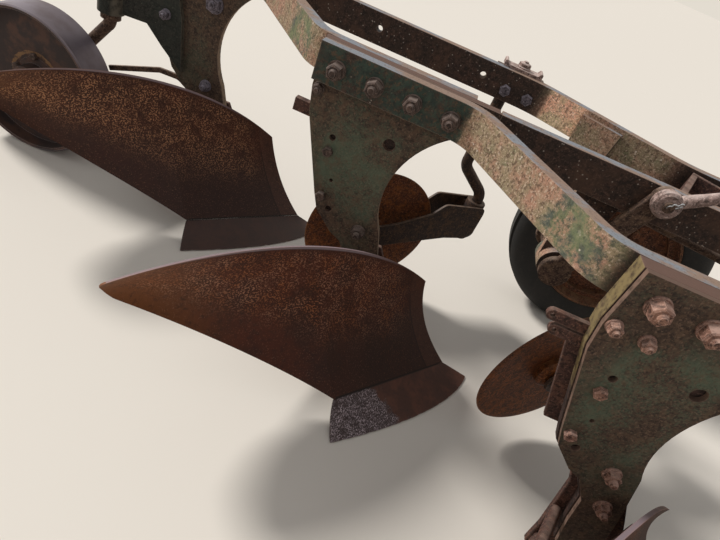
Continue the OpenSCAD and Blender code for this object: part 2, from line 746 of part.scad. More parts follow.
// Lift rod with a forged eye, the hand lever that works it and the link between the two shafts
lift_pin = land_shaft + lift_arm;
lever_pin = lift_pin + lift_rod_run;
lever_pivot = lever_pin - lift_arm;
rod_y0 = land_arm_y - 26;
lever_bracket_t = 12;
pivot_end = rod_y0 + 29;
eye_d = 52;
eye_t = 24;
lift_rod_d = 22;
module lift_rod() {
  color("#7a5a52") place() difference() {
    union() {
      for (at = [lift_pin, lever_pin]) rod_y(at[0], rod_y0, at[1], eye_d, eye_t);
      rod([lift_pin[0], rod_y0 + eye_t / 2, lift_pin[1]], [lever_pin[0], rod_y0 + eye_t / 2, lever_pin[1]],
        lift_rod_d);
    }
    for (at = [lift_pin, lever_pin]) rod_y(at[0], rod_y0 - 1, at[1], rod_pin_d + 2 * run, eye_t + 2);
  }
}

lever_len = 620;
lever_w = 32;
module lift_lever() {
  color("#6b3a2c") place() {
    difference() {
      slab(rod_y0 + 25, 12) union() {
        translate(lever_pivot) circle(d = 60);
        translate(lever_pin) circle(d = 44);
        strap(lever_pivot, unit(lift_arm) * lever_len, lever_w);
      }
      rod_y(lever_pivot[0], rod_y0 + 20, lever_pivot[1], 26 + 2 * run, 20);
    }
    rod_y(lever_pin[0], rod_y0 - 4, lever_pin[1], rod_pin_d, 30);
  }
}

// Post for the lever, on the far face of the middle bar
module lever_bracket() {
  color("#43302a") place() {
    slab(bar_t, lever_bracket_t) polygon([
      [lever_pivot[0] - 110, bar_bottom + 10], [lever_pivot[0] + 110, bar_bottom + 10],
      [lever_pivot[0] + 50, lever_pivot[1] + 30], [lever_pivot[0] - 50, lever_pivot[1] + 30]
    ]);
    rod_y(lever_pivot[0], pivot_end, lever_pivot[1], 26, bar_t + lever_bracket_t - pivot_end);
  }
}

module link_rod() {
  color("#5a3c30") place() difference() {
    a = land_shaft + link_arm;
    b = furrow_shaft + link_arm;
    union() {
      rod_y(a[0], link_y + 19, a[1], 44, 22);
      rod_y(b[0], link_y + 19, b[1], 44, 22);
      rod([a[0], link_y + 30, a[1]], [b[0], link_y + 30, b[1]], 20);
    }
    for (p = [a, b]) rod_y(p[0], link_y + 10, p[1], rod_pin_d + 2 * run, 40);
  }
}

// Hitch: two pairs of cheeks under the head bar, for the drawbar and for its brace
cheek_gap = 44;
cheek_t = 14;
pin_d = 26;
brace_y = hitch_y + 290;
module hitch_plate() {
  color("#43302a") place() difference() {
    for (at = [hitch_y, brace_y]) for (y = [at - cheek_gap / 2 - cheek_t, at + cheek_gap / 2])
      slab(y, cheek_t) polygon([
        [front_x + 20, bar_top], [front_x + 44, bar_top], [hitch_x + 36, hitch_z - 36],
        [hitch_x - 36, hitch_z - 36], [front_x + 20, hitch_z + 60]
      ]);
    rod_y(hitch_x, hitch_y - 60, hitch_z, pin_d, brace_y - hitch_y + 120);
  }
}

// Turns a level piece of the drawbar down until its nose rests on the ground
module drooped() {
  translate([hitch_x, 0, hitch_z]) rotate([0, droop, 0]) children();
}

// Drawbar: a flat pull bar between the cheeks, with a pin hole at its nose
module drawbar() {
  color("#5b4034") place() drooped() {
    difference() {
      union() {
        rod_y(0, hitch_y - cheek_gap / 2 + 1, 0, 64, cheek_gap - 2);
        translate([0, hitch_y - cheek_gap / 2 + 1, -32]) cube([drawbar_len - 120, cheek_gap - 2, 64]);
        translate([drawbar_len - 150, hitch_y - nose_r, -bar_half]) cube([150, 2 * nose_r, 2 * bar_half]);
        translate([drawbar_len, hitch_y, -bar_half]) cylinder(r = nose_r, h = 2 * bar_half);
      }
      translate([drawbar_len, hitch_y, -40]) cylinder(r = pin_hole_r, h = 80);
    }
    rod_y(0, hitch_y - cheek_gap / 2 - cheek_t - 8, 0, pin_d - 2 * run, cheek_gap + 2 * cheek_t + 16);
  }
}

// Brace from the nose of the drawbar to its own cheeks
brace_start = 52;
module drawbar_brace() {
  color("#5b4034") place() drooped() {
    difference() {
      union() {
        rod_y(0, brace_y - cheek_gap / 2 + 1, 0, 60, cheek_gap - 2);
        rod([brace_start, brace_y - 4, 0], [drawbar_len - 230, hitch_y + cheek_gap / 2 - 6, 0], pin_d);
        translate([0, brace_y - cheek_gap / 2 + 1, -20]) cube([brace_start + 20, cheek_gap - 2, 40]);
      }
      translate([0, hitch_y - cheek_gap / 2 + 1, -32]) cube([drawbar_len - 120, cheek_gap - 2, 64]);
    }
    rod_y(0, brace_y - cheek_gap / 2 - cheek_t - 8, 0, pin_d - 2 * run, cheek_gap + 2 * cheek_t + 16);
  }
}

beams();
cross_members();
standards();
standard_backs();
standard_pegs();
frogs();
landsides();
moldboards();
shares();
board_braces();
coulter_clamps();
coulter_shanks();
shaft_hangers();
lever_bracket();
rear_bracket();
hitch_plate();
yoke_front();
disc_front();
yoke_middle();
disc_middle();
yoke_rear();
disc_rear();
land_axle();
land_rim();
land_tyre();
furrow_axle();
furrow_wheel();
rear_axle();
rear_wheel();
lift_rod();
lift_lever();
link_rod();
drawbar();
drawbar_brace();
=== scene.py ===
# %% [markdown]
# # A trailed moldboard plough
#
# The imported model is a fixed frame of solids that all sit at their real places. This lesson dresses it:
# some solids only get rounded edges and a weathered finish, and others are replaced by a finer surface.
# Every length is in metres.

# %% Load the frame
import math

import bmesh
import bpy
import numpy as np
from mathutils import Matrix, Vector


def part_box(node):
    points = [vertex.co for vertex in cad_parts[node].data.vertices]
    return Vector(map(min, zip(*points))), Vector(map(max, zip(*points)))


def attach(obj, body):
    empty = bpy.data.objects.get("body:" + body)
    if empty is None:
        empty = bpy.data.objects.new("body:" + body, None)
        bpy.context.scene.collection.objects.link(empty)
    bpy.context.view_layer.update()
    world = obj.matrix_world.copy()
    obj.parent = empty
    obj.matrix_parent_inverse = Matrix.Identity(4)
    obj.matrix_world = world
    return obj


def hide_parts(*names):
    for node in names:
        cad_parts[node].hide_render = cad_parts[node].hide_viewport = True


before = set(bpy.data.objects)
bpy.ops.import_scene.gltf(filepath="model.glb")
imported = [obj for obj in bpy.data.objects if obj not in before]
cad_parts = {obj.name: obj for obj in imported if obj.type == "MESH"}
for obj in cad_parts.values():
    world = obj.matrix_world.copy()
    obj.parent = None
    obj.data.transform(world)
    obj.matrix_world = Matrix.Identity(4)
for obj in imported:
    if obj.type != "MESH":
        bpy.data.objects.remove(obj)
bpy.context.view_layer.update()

# %% [markdown]
# ## Layout
#
# A plough repeats one bottom: each copy sits one step ahead of the last and one furrow to its right.
# Points below are given from the middle bottom, whose first frame bolt is at x = 0, and the two corners
# of the standards tell where that point lies in the frame.

# %% Layout
FURROW = 0.356
STEP = 0.541
BAR_T = 0.026
BAR_TOP = 0.674
BOLT_ROW = 0.640
LAND_Y = 0.068
ARM_END = 0.300
standards_lo, standards_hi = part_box("standards")
ORIGIN = np.array([standards_hi.x - STEP - ARM_END, standards_lo.y + FURROW, 0.0])
BOTTOMS = (-1, 0, 1)


def bottom(i):
    """Where bottom i stands, from the middle one."""
    return np.array([i * STEP, -i * FURROW, 0.0])


print("layout origin", np.round(ORIGIN, 4))

# %% [markdown]
# ## Meshes from arrays
#
# A surface is a grid of points worked out by a formula. The helpers below number its quads, join several
# shapes in one mesh, and close the poles by merging points that fall together.

# %% Grids and joins
MERGE = 2e-6


def grid_quads(rows, columns, wrap_rows=False, wrap_columns=False):
    """Quads of a grid numbered row by row; a wrapped side joins its last line to its first."""
    i, j = np.meshgrid(
        np.arange(rows - (not wrap_rows)), np.arange(columns - (not wrap_columns)), indexing="ij"
    )
    up, right = (i + 1) % rows, (j + 1) % columns
    corners = [i * columns + j, up * columns + j, up * columns + right, i * columns + right]
    return np.stack(corners, -1).reshape(-1, 4)


def join(shapes):
    """One (points, faces) from several: each shape's face numbers move up by the points before it."""
    points, faces, start = [], [], 0
    for p, f in shapes:
        points.append(np.asarray(p, float).reshape(-1, 3))
        faces += [[int(k) + start for k in face] for face in f]
        start += len(points[-1])
    return np.concatenate(points), faces


def moved(shape, shift):
    """The same shape at another place."""
    return np.asarray(shape[0], float) + np.asarray(shift, float), shape[1]


# %% Pieces
def finish_mesh(name, mesh, body, material, cad_slot, sharp=35):
    """Merges doubles, turns the faces outwards and makes the mesh a piece that rides on a body."""
    soft = bmesh.new()
    soft.from_mesh(mesh)
    bmesh.ops.remove_doubles(soft, verts=soft.verts, dist=MERGE)
    bmesh.ops.recalc_face_normals(soft, faces=soft.faces)
    soft.to_mesh(mesh)
    soft.free()
    mesh.shade_smooth()
    mesh.set_sharp_from_angle(angle=math.radians(sharp))
    piece = bpy.data.objects.new(name, mesh)
    bpy.context.scene.collection.objects.link(piece)
    mesh.materials.clear()
    mesh.materials.append(material)
    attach(piece, body)
    return piece


def make_piece(name, shapes, body, material, cad_slot="rusty_steel", sharp=35, marks=None):
    """A piece from a list of shapes given in layout points; marks are values kept on its points."""
    points, faces = join(shapes)
    mesh = bpy.data.meshes.new(name)
    mesh.from_pydata((points + ORIGIN).tolist(), [], faces)
    for mark, values in (marks or {}).items():
        mesh.attributes.new(mark, "FLOAT", "POINT").data.foreach_set("value", np.ravel(values).astype(float))
    piece = finish_mesh(name, mesh, body, material, cad_slot, sharp)
    print(name, len(piece.data.polygons), "faces")
    return piece


def bevelled(piece, width, segments=2, angle=32):
    """Rounds the sharp edges of a finished piece."""
    edge = piece.modifiers.new("rounded edges", "BEVEL")
    edge.width = width
    edge.segments = segments
    edge.limit_method = "ANGLE"
    edge.angle_limit = math.radians(angle)
    edge.harden_normals = False
    return piece


# %% Turned and swept shapes
def unit(v):
    """The same direction with a length of one."""
    v = np.asarray(v, float)
    return v / np.linalg.norm(v, axis=-1, keepdims=True)


def turned(profile, centre, axis, sides=48, start=0.0):
    """Carries a profile of (radius, height) round the axis; its ends lie on the axis or meet each other."""
    profile = np.asarray(profile, float)
    axis = unit(axis)
    helper = [1.0, 0, 0] if abs(axis[0]) < 0.8 else [0, 0, 1.0]
    across = unit(np.cross(axis, helper))
    other = np.cross(axis, across)
    a = start + 2 * math.pi * np.arange(sides) / sides
    ring = np.cos(a)[:, None] * across + np.sin(a)[:, None] * other
    points = profile[None, :, 0, None] * ring[:, None, :] + profile[None, :, 1, None] * axis
    return (points + centre).reshape(-1, 3), grid_quads(sides, len(profile), wrap_rows=True)


def swept(path, profile, up=(0, 0, 1), closed=False):
    """A closed profile of (side, up) carried along a path, with flat ends unless the path is closed."""
    path = np.asarray(path, float)
    profile = np.asarray(profile, float)
    if closed:
        ahead = np.roll(path, -1, 0) - np.roll(path, 1, 0)
    else:
        ahead = np.gradient(path, axis=0)
    ahead = unit(ahead)
    side = unit(np.cross(ahead, np.asarray(up, float)))
    top = np.cross(side, ahead)
    if profile.ndim == 2:
        profile = np.repeat(profile[None], len(path), 0)
    points = path[:, None] + profile[..., 0, None] * side[:, None] + profile[..., 1, None] * top[:, None]
    n = profile.shape[1]
    faces = grid_quads(len(path), n, wrap_rows=closed, wrap_columns=True).tolist()
    if not closed:
        faces += [list(range(n)), list(range(n * (len(path) - 1), n * len(path)))]
    return points.reshape(-1, 3), faces


def circle(radius, sides=24):
    """Points of a circle, as a profile."""
    a = 2 * math.pi * np.arange(sides) / sides
    return np.stack([np.cos(a), np.sin(a)], -1) * radius


def rounded(points, radius, steps=5, closed=True):
    """A line whose corners are arcs: an arc touches both sides at radius times tan(half the turn)."""
    points = np.asarray(points, float)
    befores, heres, afters = points[:-2], points[1:-1], points[2:]
    if closed:
        befores, heres, afters = np.roll(points, 1, 0), points, np.roll(points, -1, 0)
    out = []
    for before, here, after in zip(befores, heres, afters):
        come, go = unit(here - before), unit(after - here)
        half = math.acos(np.clip(come @ go, -1, 1)) / 2
        if half < 0.02:
            out.append(here)
            continue
        reach = 0.45 * min(np.linalg.norm(here - before), np.linalg.norm(after - here))
        r = min(radius, reach / math.tan(half))
        centre = here + unit(go - come) * r / math.cos(half)
        start = here - come * r * math.tan(half) - centre
        angles = np.linspace(0, 2 * half, steps)
        out += [centre + start * math.cos(a) + come * r * math.sin(a) for a in angles]
    return np.array(out if closed else [points[0], *out, points[-1]])


# %% [markdown]
# ## Finishes
#
# The plough has stood outdoors for decades. Its steel is covered by brown rust with a fine grain, the
# frame keeps thin, faded green enamel between the rust, and whatever faces the sky is paler: dusty, with
# lichen, and with painted light from above. All patterns are worked out from real sizes on the object's
# own coordinates.
#
# A finish is laid in coats. Each coat has a colour and a value that says where it lies: 0 is nowhere, 1 is
# full cover. Such values are multiplied to lie where both do, and joined with | to lie where either does.

# %% Colours, nodes and values
def srgb(code, alpha=1.0):
    """A hex colour as linear red, green and blue: each channel c becomes ((c + 0.055) / 1.055) ** 2.4."""
    channels = [int(code[k : k + 2], 16) / 255 for k in (1, 3, 5)]
    return [c / 12.92 if c <= 0.04045 else ((c + 0.055) / 1.055) ** 2.4 for c in channels] + [alpha]


def add(tree, kind, inputs=None, **settings):
    """Adds a node. An input given a Value is linked to it, and a number or a colour code is set on it."""
    made = tree.nodes.new(kind)
    for key, setting in settings.items():
        setattr(made, key, setting)
    for key, given in (inputs or {}).items():
        if isinstance(given, Value):
            tree.links.new(given.socket, made.inputs[key])
        else:
            made.inputs[key].default_value = srgb(given) if isinstance(given, str) else given
    return made


class Value:
    """What a node gives out. Values multiply, add and subtract, and | keeps the larger of two."""

    def __init__(self, socket):
        self.socket = socket

    def worked(self, kind, other=0.0):
        """The value after one more step of arithmetic."""
        step = add(self.socket.id_data, "ShaderNodeMath", {0: self, 1: other}, operation=kind)
        return Value(step.outputs[0])

    def __mul__(self, other):
        return self.worked("MULTIPLY", other)

    def __add__(self, other):
        return self.worked("ADD", other)

    def __sub__(self, other):
        return self.worked("SUBTRACT", other)

    def __or__(self, other):
        return self.worked("MAXIMUM", other)

    def between(self, low, high):
        """0 at low, 1 at high and a smooth slope between; low may be the larger one."""
        inputs = {"Value": self, "From Min": low, "From Max": high, "To Min": 0.0, "To Max": 1.0}
        ramp = add(self.socket.id_data, "ShaderNodeMapRange", inputs, interpolation_type="SMOOTHSTEP")
        return Value(ramp.outputs[0])

    def near(self, centre, reach):
        """1 within that reach of the centre and 0 beyond one and a half times the reach."""
        return (self - centre).worked("ABSOLUTE").between(reach * 1.5, reach)


def either(values):
    """The largest of several values."""
    most = values[0]
    for value in values[1:]:
        most = most | value
    return most


# %% A finish and its coats
class Finish:
    """A material while it is made: its node tree and the colour laid so far."""

    def __init__(self, name, colour=None):
        self.material = bpy.data.materials.new(name)
        self.material.use_nodes = True
        self.tree = self.material.node_tree
        self.tree.nodes.clear()
        self.colour = colour

    def add(self, kind, inputs=None, output=0, **settings):
        """One output of a new node."""
        return Value(add(self.tree, kind, inputs, **settings).outputs[output])

    def place(self):
        """Object coordinates."""
        return self.add("ShaderNodeTexCoord", output="Object")

    def grain(self, mm, detail=4.0, roughness=0.6, seed=(0, 0, 0), stretch=(1, 1, 1)):
        """Noise from 0 to 1 whose features are about that many millimetres across."""
        laid = self.add("ShaderNodeMapping", {"Vector": self.place(), "Location": seed, "Scale": stretch})
        inputs = {"Vector": laid, "Scale": 1000.0 / mm, "Detail": detail, "Roughness": roughness}
        return self.add("ShaderNodeTexNoise", inputs, "Fac")

    def specks(self, mm, size, seed=(0, 0, 0)):
        """Small round dots with that spacing: the places nearest to the points of a cell pattern."""
        laid = self.add("ShaderNodeMapping", {"Vector": self.place(), "Location": seed})
        inputs = {"Vector": laid, "Scale": 1000.0 / mm, "Randomness": 1.0}
        return self.add("ShaderNodeTexVoronoi", inputs, "Distance").between(size, size * 0.6)

    def facing(self, axis, low, high):
        """How much a face looks along that axis, from its true normal."""
        normal = self.add("ShaderNodeNewGeometry", output="Normal")
        return self.add("ShaderNodeSeparateXYZ", {0: normal}, axis).between(low, high)

    def where(self, axis):
        """Place along that axis, in metres from the layout's own origin."""
        local = self.add("ShaderNodeVectorMath", {0: self.place(), 1: tuple(ORIGIN)}, operation="SUBTRACT")
        return self.add("ShaderNodeSeparateXYZ", {0: local}, axis)

    def edges(self, radius):
        """1 on worn edges: there the rounded normal leaves the true one."""
        soft = self.add("ShaderNodeBevel", {"Radius": radius}, samples=4)
        true = self.add("ShaderNodeNewGeometry", output="Normal")
        alike = self.add("ShaderNodeVectorMath", {0: soft, 1: true}, "Value", operation="DOT_PRODUCT")
        return alike.between(0.985, 0.86)

    def mark(self, name):
        """A value that was kept on the points."""
        return self.add("ShaderNodeAttribute", output="Fac", attribute_name=name)

    def mix(self, share, first, second):
        """Two colours mixed by a share."""
        return self.add("ShaderNodeMix", {"Factor": share, 6: first, 7: second}, 2, data_type="RGBA")

    def lay(self, share, colour):
        """Lays a coat over what is there."""
        self.colour = self.mix(share, self.colour, colour)

    def done(self, rough, metal=0.0, relief=(), gloss=0.5):
        """Wires the shader. The relief is a list of (height, strength, depth in millimetres)."""
        skin = {"Base Color": self.colour, "Roughness": rough, "Metallic": metal, "Specular IOR Level": gloss}
        for height, strength, mm in relief:
            inputs = {"Height": height, "Strength": strength, "Distance": mm / 1000}
            if "Normal" in skin:
                inputs["Normal"] = skin["Normal"]
            skin["Normal"] = self.add("ShaderNodeBump", inputs)
        add(self.tree, "ShaderNodeOutputMaterial", {"Surface": self.add("ShaderNodeBsdfPrincipled", skin)})
        return self.material


# %% [markdown]
# Rust on mild steel is never one brown. Orange bloom, dark scale and paler dust lie over each other
# in patches from a hand's width down to a grain of sand, so three noises of those sizes are stacked.

# %% Rusted steel
def rust_skin(coat, rough, metal, pitting=0.45):
    """The sandy relief that all rusted pieces share, over gentle waves of a finger's width."""
    relief = [(coat.grain(3.0, 6, 0.75), pitting, 0.5), (coat.grain(30, 3, seed=(2, 8, 3)), 0.3, 1.5)]
    return coat.done(rough, metal, relief, 0.3)


def mottled(name, body, bloom, dark, mm=26):
    """Bloom in soft patches over the body colour, dark scale in finer ones over both, and pale flecks."""
    coat = Finish(name)
    coat.colour = coat.mix(coat.grain(mm, 8, 0.65).between(0.42, 0.66), body, bloom)
    coat.lay(coat.grain(9, 7, 0.75, (3, 1, 2)).between(0.47, 0.58) * 0.9, dark)
    pale = coat.add("ShaderNodeHueSaturation", {"Value": 2.3, "Saturation": 0.9, "Color": bloom})
    coat.lay(coat.grain(4, 4, 0.7, (5, 8, 2)).between(0.52, 0.66) * 0.55, pale)
    return coat


def rusted_steel(name, body, bloom, dark, sky, edge=None, rough=0.82, spots=0.35):
    """Rust: mottled body, a pale dusty top that is partly painted light from above, worn edges and a sandy
    sprinkle.
    """
    coat = mottled(name, body, bloom, dark)
    # Upward faces are paler: dusty, and partly painted light from above
    dust_and_top_light = coat.facing("Z", 0.35, 0.95) * coat.grain(20, 4, 0.5, (5, 2, 9)).between(0.2, 0.7)
    coat.lay(dust_and_top_light * 0.7, sky)
    coat.lay(coat.edges(0.0025) * 0.6, edge or sky)
    coat.lay(coat.grain(2.2, 3, 0.7, (7, 7, 1)).between(0.62, 0.74) * spots, sky)
    return rust_skin(coat, rough, 0.15)


frame_rust = rusted_steel("rusted mild steel", "#46302a", "#5f4033", "#271c18", "#866f62")
dark_iron = rusted_steel("rusted cast iron", "#2b1f1b", "#47301f", "#18110f", "#6d5a4c", rough=0.6, spots=0.2)
front_bolt_rust = rusted_steel("pink bolt rust", "#765548", "#8b6755", "#38251f", "#b29384")
middle_bolt_rust = rusted_steel("brown bolt rust", "#3f322c", "#55433a", "#221a17", "#84746b")
rear_bolt_rust = rusted_steel("grey bolt rust", "#585055", "#6b6268", "#2e282b", "#989099")
forged_rust = rusted_steel("rusted forged steel", "#826a61", "#9c847a", "#3f302a", "#cdbab0", rough=0.7)
axle_rust = rusted_steel("rusted axle steel", "#4d3a30", "#66503f", "#2b1f1a", "#8d7a6b")
print("rust finishes ready")

# %% [markdown]
# The frame was sprayed with green enamel. It is left in three kinds of places: over the bolted faces of
# the bent bars, at their lower bends and, thinly, in the middle of the standards. The slanted faces of the
# bars are weathered tan and olive and painted paler as in sunlight, with lichen dots. The far bars are
# almost black.

# %% Finish of the bars
BEND_Y = -0.262


def bar_finish(name):
    """Dark scale with pale specks; enamel and weather go by place and by the way a face looks, and so does
    the painted sunlight on the slanted faces and on the landward bar.
    """
    coat = mottled(name, "#33261f", "#453026", "#1f1714")
    across, along = coat.where("Y"), coat.where("X")
    coat.lay(coat.grain(60, 6, 0.6, (4, 6, 1)).between(0.5, 0.62) * 0.5, "#4f382b")
    coat.lay(coat.specks(11, 0.16) * 0.7, "#a4968a")
    fine = coat.grain(6, 6, 0.75, (1, 9, 4))
    ragged = coat.grain(45, 5) * 0.6 + fine * 0.4

    enamel = coat.mix(coat.grain(18, 5, seed=(8, 4, 2)).between(0.38, 0.64), "#344137", "#26302a")
    enamel = coat.mix(coat.grain(8, 7, 0.75, (2, 5, 9)).between(0.50, 0.60) * 0.8, enamel, "#54402f")
    enamel = coat.mix(coat.grain(5, 5, 0.7, (2, 7, 9)).between(0.54, 0.64) * 0.7, enamel, "#1a1a17")
    bolted = either([
        across.near(bottom(i)[1] - BAR_T, 0.004) * along.near(bottom(i)[0] + 0.11, 0.12) for i in (-1, 0)
    ])
    olive = coat.mix(coat.grain(26, 5, seed=(8, 4, 2)).between(0.4, 0.62), "#66704f", "#3d4c45")
    olive = coat.mix(fine.between(0.5, 0.66) * 0.6, olive, "#39382c")
    low_bends = across.near(BEND_Y, 0.038) | across.near(BEND_Y + FURROW, 0.038)

    # The tan and olive below is partly the weathered colour of the slanted faces and partly painted sunlight
    tan = coat.mix(coat.grain(48, 7, 0.65, (2, 3, 7)).between(0.4, 0.62), "#8c7b60", "#a27a64")
    tan = coat.mix(coat.grain(40, 7, 0.7, (5, 1, 1)).between(0.5, 0.68) * 0.7, tan, "#666c4e")
    tan = coat.mix(fine.between(0.48, 0.58) * 0.8, tan, "#543f31")
    tan = coat.mix(coat.grain(4, 4, 0.7, (5, 8, 2)).between(0.53, 0.63) * 0.6, tan, "#cdb39b")
    # Painted sunlight: faces that look backwards are laid in the pale tan
    slanted = coat.facing("X", -0.2, -0.45)
    # The near side of the landward bar, ahead of its joint, gets the same tan made paler still: painted
    # sunlight
    far_bar = along.between(0.415, 0.425) * across.between(0.30, 0.31) * coat.facing("Y", -0.3, -0.7)
    coat.lay(slanted, tan)
    coat.lay(far_bar, coat.add("ShaderNodeHueSaturation", {"Value": 2.3, "Color": tan}))
    coat.lay(bolted * ragged.between(0.38, 0.50), enamel)
    coat.lay(low_bends * (ragged.between(0.42, 0.56) * 0.85), olive)
    lichen = coat.specks(15, 0.17, (3, 3, 3)) | coat.specks(42, 0.1, (7, 1, 5))
    some = coat.grain(45, 4, seed=(6, 6, 3)).between(0.5, 0.6)
    coat.lay(lichen * some * ((slanted | far_bar) * 0.8), "#d0bfae")

    top = coat.mix(coat.grain(40, 6, 0.65, stretch=(0.4, 1, 1)).between(0.4, 0.54), "#808388", "#8b7363")
    top = coat.mix(fine.between(0.5, 0.64) * 0.6, top, "#55463e")
    coat.lay(coat.edges(0.0025) * 0.6, "#8b7669")
    coat.lay(coat.facing("Z", 0.5, 0.9) * 0.9, top)
    return rust_skin(coat, 0.72, 0.05, 0.35)


# %% Finish of the standards and brackets
def plate_finish(name, rust, enamel, cover, top, ahead, behind, behind_above):
    """Stippled rust with a thin veil of enamel. Top and forward edges each have their own colour; rear edges
    are painted paler, as sunlit.
    """
    coat = mottled(name, *rust, 18)
    fine = coat.grain(4, 6, 0.75, (1, 9, 4))
    ragged = coat.grain(90, 3, 0.5, (4, 6, 1)) * 0.5 + fine * 0.5
    limit = 0.62 - 0.24 * cover
    along, up = coat.where("X"), coat.where("Z")
    below_bolts = up.near(BOLT_ROW - 0.165, 0.100)
    middle = either([along.near(bottom(i)[0] + 0.085, 0.060) for i in (0, 1)]) * below_bolts
    thin = ragged.between(limit - 0.07, limit + 0.07) * 0.45
    thick = middle * ragged.between(limit - 0.12, limit + 0.06)
    coat.lay((thin | thick) * 0.7, enamel)
    coat.lay(coat.grain(14, 7, 0.7, (6, 2, 8)).between(0.5, 0.62) * 0.45, rust[1])
    coat.lay(coat.specks(14, 0.1) * 0.5, top)
    coat.lay(coat.edges(0.002) * 0.6, top)
    rough_edge = coat.grain(12, 5, seed=(5, 2, 9)).between(0.25, 0.6)
    coat.lay(coat.facing("X", 0.35, 0.7) * rough_edge, ahead)
    # Painted sunlight: faces that look backwards, above a height, take the paler behind colour
    high = up.between(behind_above - 0.02, behind_above + 0.02)
    coat.lay(coat.facing("X", -0.35, -0.7) * high * rough_edge, behind)
    coat.lay(coat.facing("Z", 0.4, 0.8) * 0.85, top)
    return rust_skin(coat, 0.78, 0.08, 0.4)


bar_enamel = bar_finish("faded green enamel on bars")
plate_enamel = plate_finish(
    "faded green enamel on plates", ("#44352b", "#554132", "#2a1f1a"), "#525f4c", 0.34,
    top="#604a3f", ahead="#7a6450", behind="#775e50", behind_above=0.0,
)
back_rust = plate_finish(
    "rusted backing plates", ("#2e221d", "#45312a", "#1b1411"), "#2e221d", 0.0,
    top="#644b40", ahead="#8d7860", behind="#7c6b48", behind_above=0.46,
)
bracket_enamel = plate_finish(
    "faded green enamel on brackets", ("#262622", "#33302a", "#161513"), "#2b352d", 0.5,
    top="#6f6a5e", ahead="#5f584c", behind="#5a564a", behind_above=0.0,
)
print("enamel finishes ready")

# %% [markdown]
# ## Rounded copies
#
# Rolled bars and forged brackets have edges rounded by a millimetre or two. A copy of the solid is merged
# into whole faces and bevelled, so the shape stays exact and every edge catches light.

# %% Rounded copies of the solids
def rounded_copy(node_name, body, material, width, cad_slot="rusty_steel"):
    """Copies a solid's mesh, joins its loose triangles to flat faces and bevels its edges."""
    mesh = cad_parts[node_name].data.copy()
    mesh.name = node_name + "_rounded"
    loose = bmesh.new()
    loose.from_mesh(mesh)
    bmesh.ops.remove_doubles(loose, verts=loose.verts, dist=1e-5)
    flat = math.radians(0.6)
    bmesh.ops.dissolve_limit(
        loose, angle_limit=flat, use_dissolve_boundaries=False, verts=loose.verts, edges=loose.edges
    )
    loose.to_mesh(mesh)
    loose.free()
    piece = finish_mesh(node_name + "_rounded", mesh, body, material, cad_slot)
    bevelled(piece, width)
    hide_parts(node_name)
    return piece


# Node, finish, width of the rounding and slot
FRAME_COPIES = (
    ("beams", bar_enamel, 0.0022, "green_bar"),
    ("cross_members", frame_rust, 0.0018, "rusty_steel"),
    ("standards", plate_enamel, 0.0012, "green_bar"),
    ("standard_backs", back_rust, 0.0012, "green_bar"),
    ("standard_pegs", frame_rust, 0.0012, "rusty_steel"),
    ("frogs", frame_rust, 0.002, "rusty_steel"),
    ("landsides", dark_iron, 0.002, "rusty_steel"),
    ("board_braces", frame_rust, 0.001, "rusty_steel"),
    ("coulter_clamps", dark_iron, 0.003, "rusty_steel"),
    ("shaft_hangers", bar_enamel, 0.002, "rusty_steel"),
    ("lever_bracket", frame_rust, 0.0015, "rusty_steel"),
    ("rear_bracket", bracket_enamel, 0.002, "green_bar"),
    ("hitch_plate", frame_rust, 0.002, "rusty_steel"),
)
for node_name, material, width, slot_name in FRAME_COPIES:
    rounded_copy(node_name, "frame", material, width, slot_name)

# Node, body and finish
MOVING_COPIES = (
    ("land_axle", "land_crank", axle_rust),
    ("furrow_axle", "furrow_crank", axle_rust),
    ("rear_axle", "rear_swivel", axle_rust),
    ("lift_lever", "lift_lever", frame_rust),
    ("link_rod", "link_rod", axle_rust),
    ("drawbar", "drawbar", frame_rust),
    ("drawbar_brace", "drawbar", frame_rust),
)
for node_name, body, material in MOVING_COPIES:
    rounded_copy(node_name, body, material, 0.002)
print(len(FRAME_COPIES) + len(MOVING_COPIES), "solids have rounded edges")

# %% [markdown]
# ## Moldboards
#
# A moldboard is one sheet of hardened steel, pressed to a hollow twist that lifts and turns the furrow.
# Its outline is four curves: the shin, the seam with the share, the long lower edge and the crest.
# The surface is the mix of the lower and upper curves, sagging towards the back between them.

# %% The moldboard's surface
BOARD_T = 0.008
BACK = np.array([-0.55, 0.72, -0.42])
SEAM_FRONT = np.array([0.478, LAND_Y - 0.006, 0.024])
SEAM_WING = np.array([0.243, -0.212, 0.047])
TAIL = np.array([-0.166, -0.434, 0.336])
SHIN_TOP = np.array([0.336, LAND_Y, 0.234])
LOWER = np.array([SEAM_WING, [0.121, -0.220, 0.084], [-0.070, -0.278, 0.156], [-0.180, -0.401, 0.284]])
CREST = np.array([SHIN_TOP, [0.160, -0.068, 0.386], [-0.024, -0.302, 0.414], TAIL])
SEAM_U = 0.42


def bezier(p, t):
    """Cubic curve: each of the four points counts by its Bernstein share."""
    t = np.asarray(t, float)[..., None]
    return p[0] * (1 - t) ** 3 + 3 * p[1] * t * (1 - t) ** 2 + 3 * p[2] * t**2 * (1 - t) + p[3] * t**3


TAIL_FLAT = 0.7
TAIL_ROUND = 0.025


def board_point(u, v):
    """u runs from the shin to the tail, v from the lower edge to the crest."""
    u, v = np.asarray(u, float), np.asarray(v, float)
    seam = SEAM_FRONT + (SEAM_WING - SEAM_FRONT) * (u / SEAM_U)[..., None]
    low = np.where((u < SEAM_U)[..., None], seam, bezier(LOWER, np.clip((u - SEAM_U) / (1 - SEAM_U), 0, 1)))
    high = bezier(CREST, u)
    sag = (0.046 * (1 - u) + 0.034 * u) * (1 - TAIL_FLAT * np.clip((u - 0.85) / 0.15, 0, 1) ** 2)
    way = np.array([-0.42, 0.55, -0.55]) * (1 - u)[..., None] + np.array([-0.5, 0.62, -0.2]) * u[..., None]
    return low + (high - low) * v[..., None] + way * (sag * 4 * v * (1 - v))[..., None]


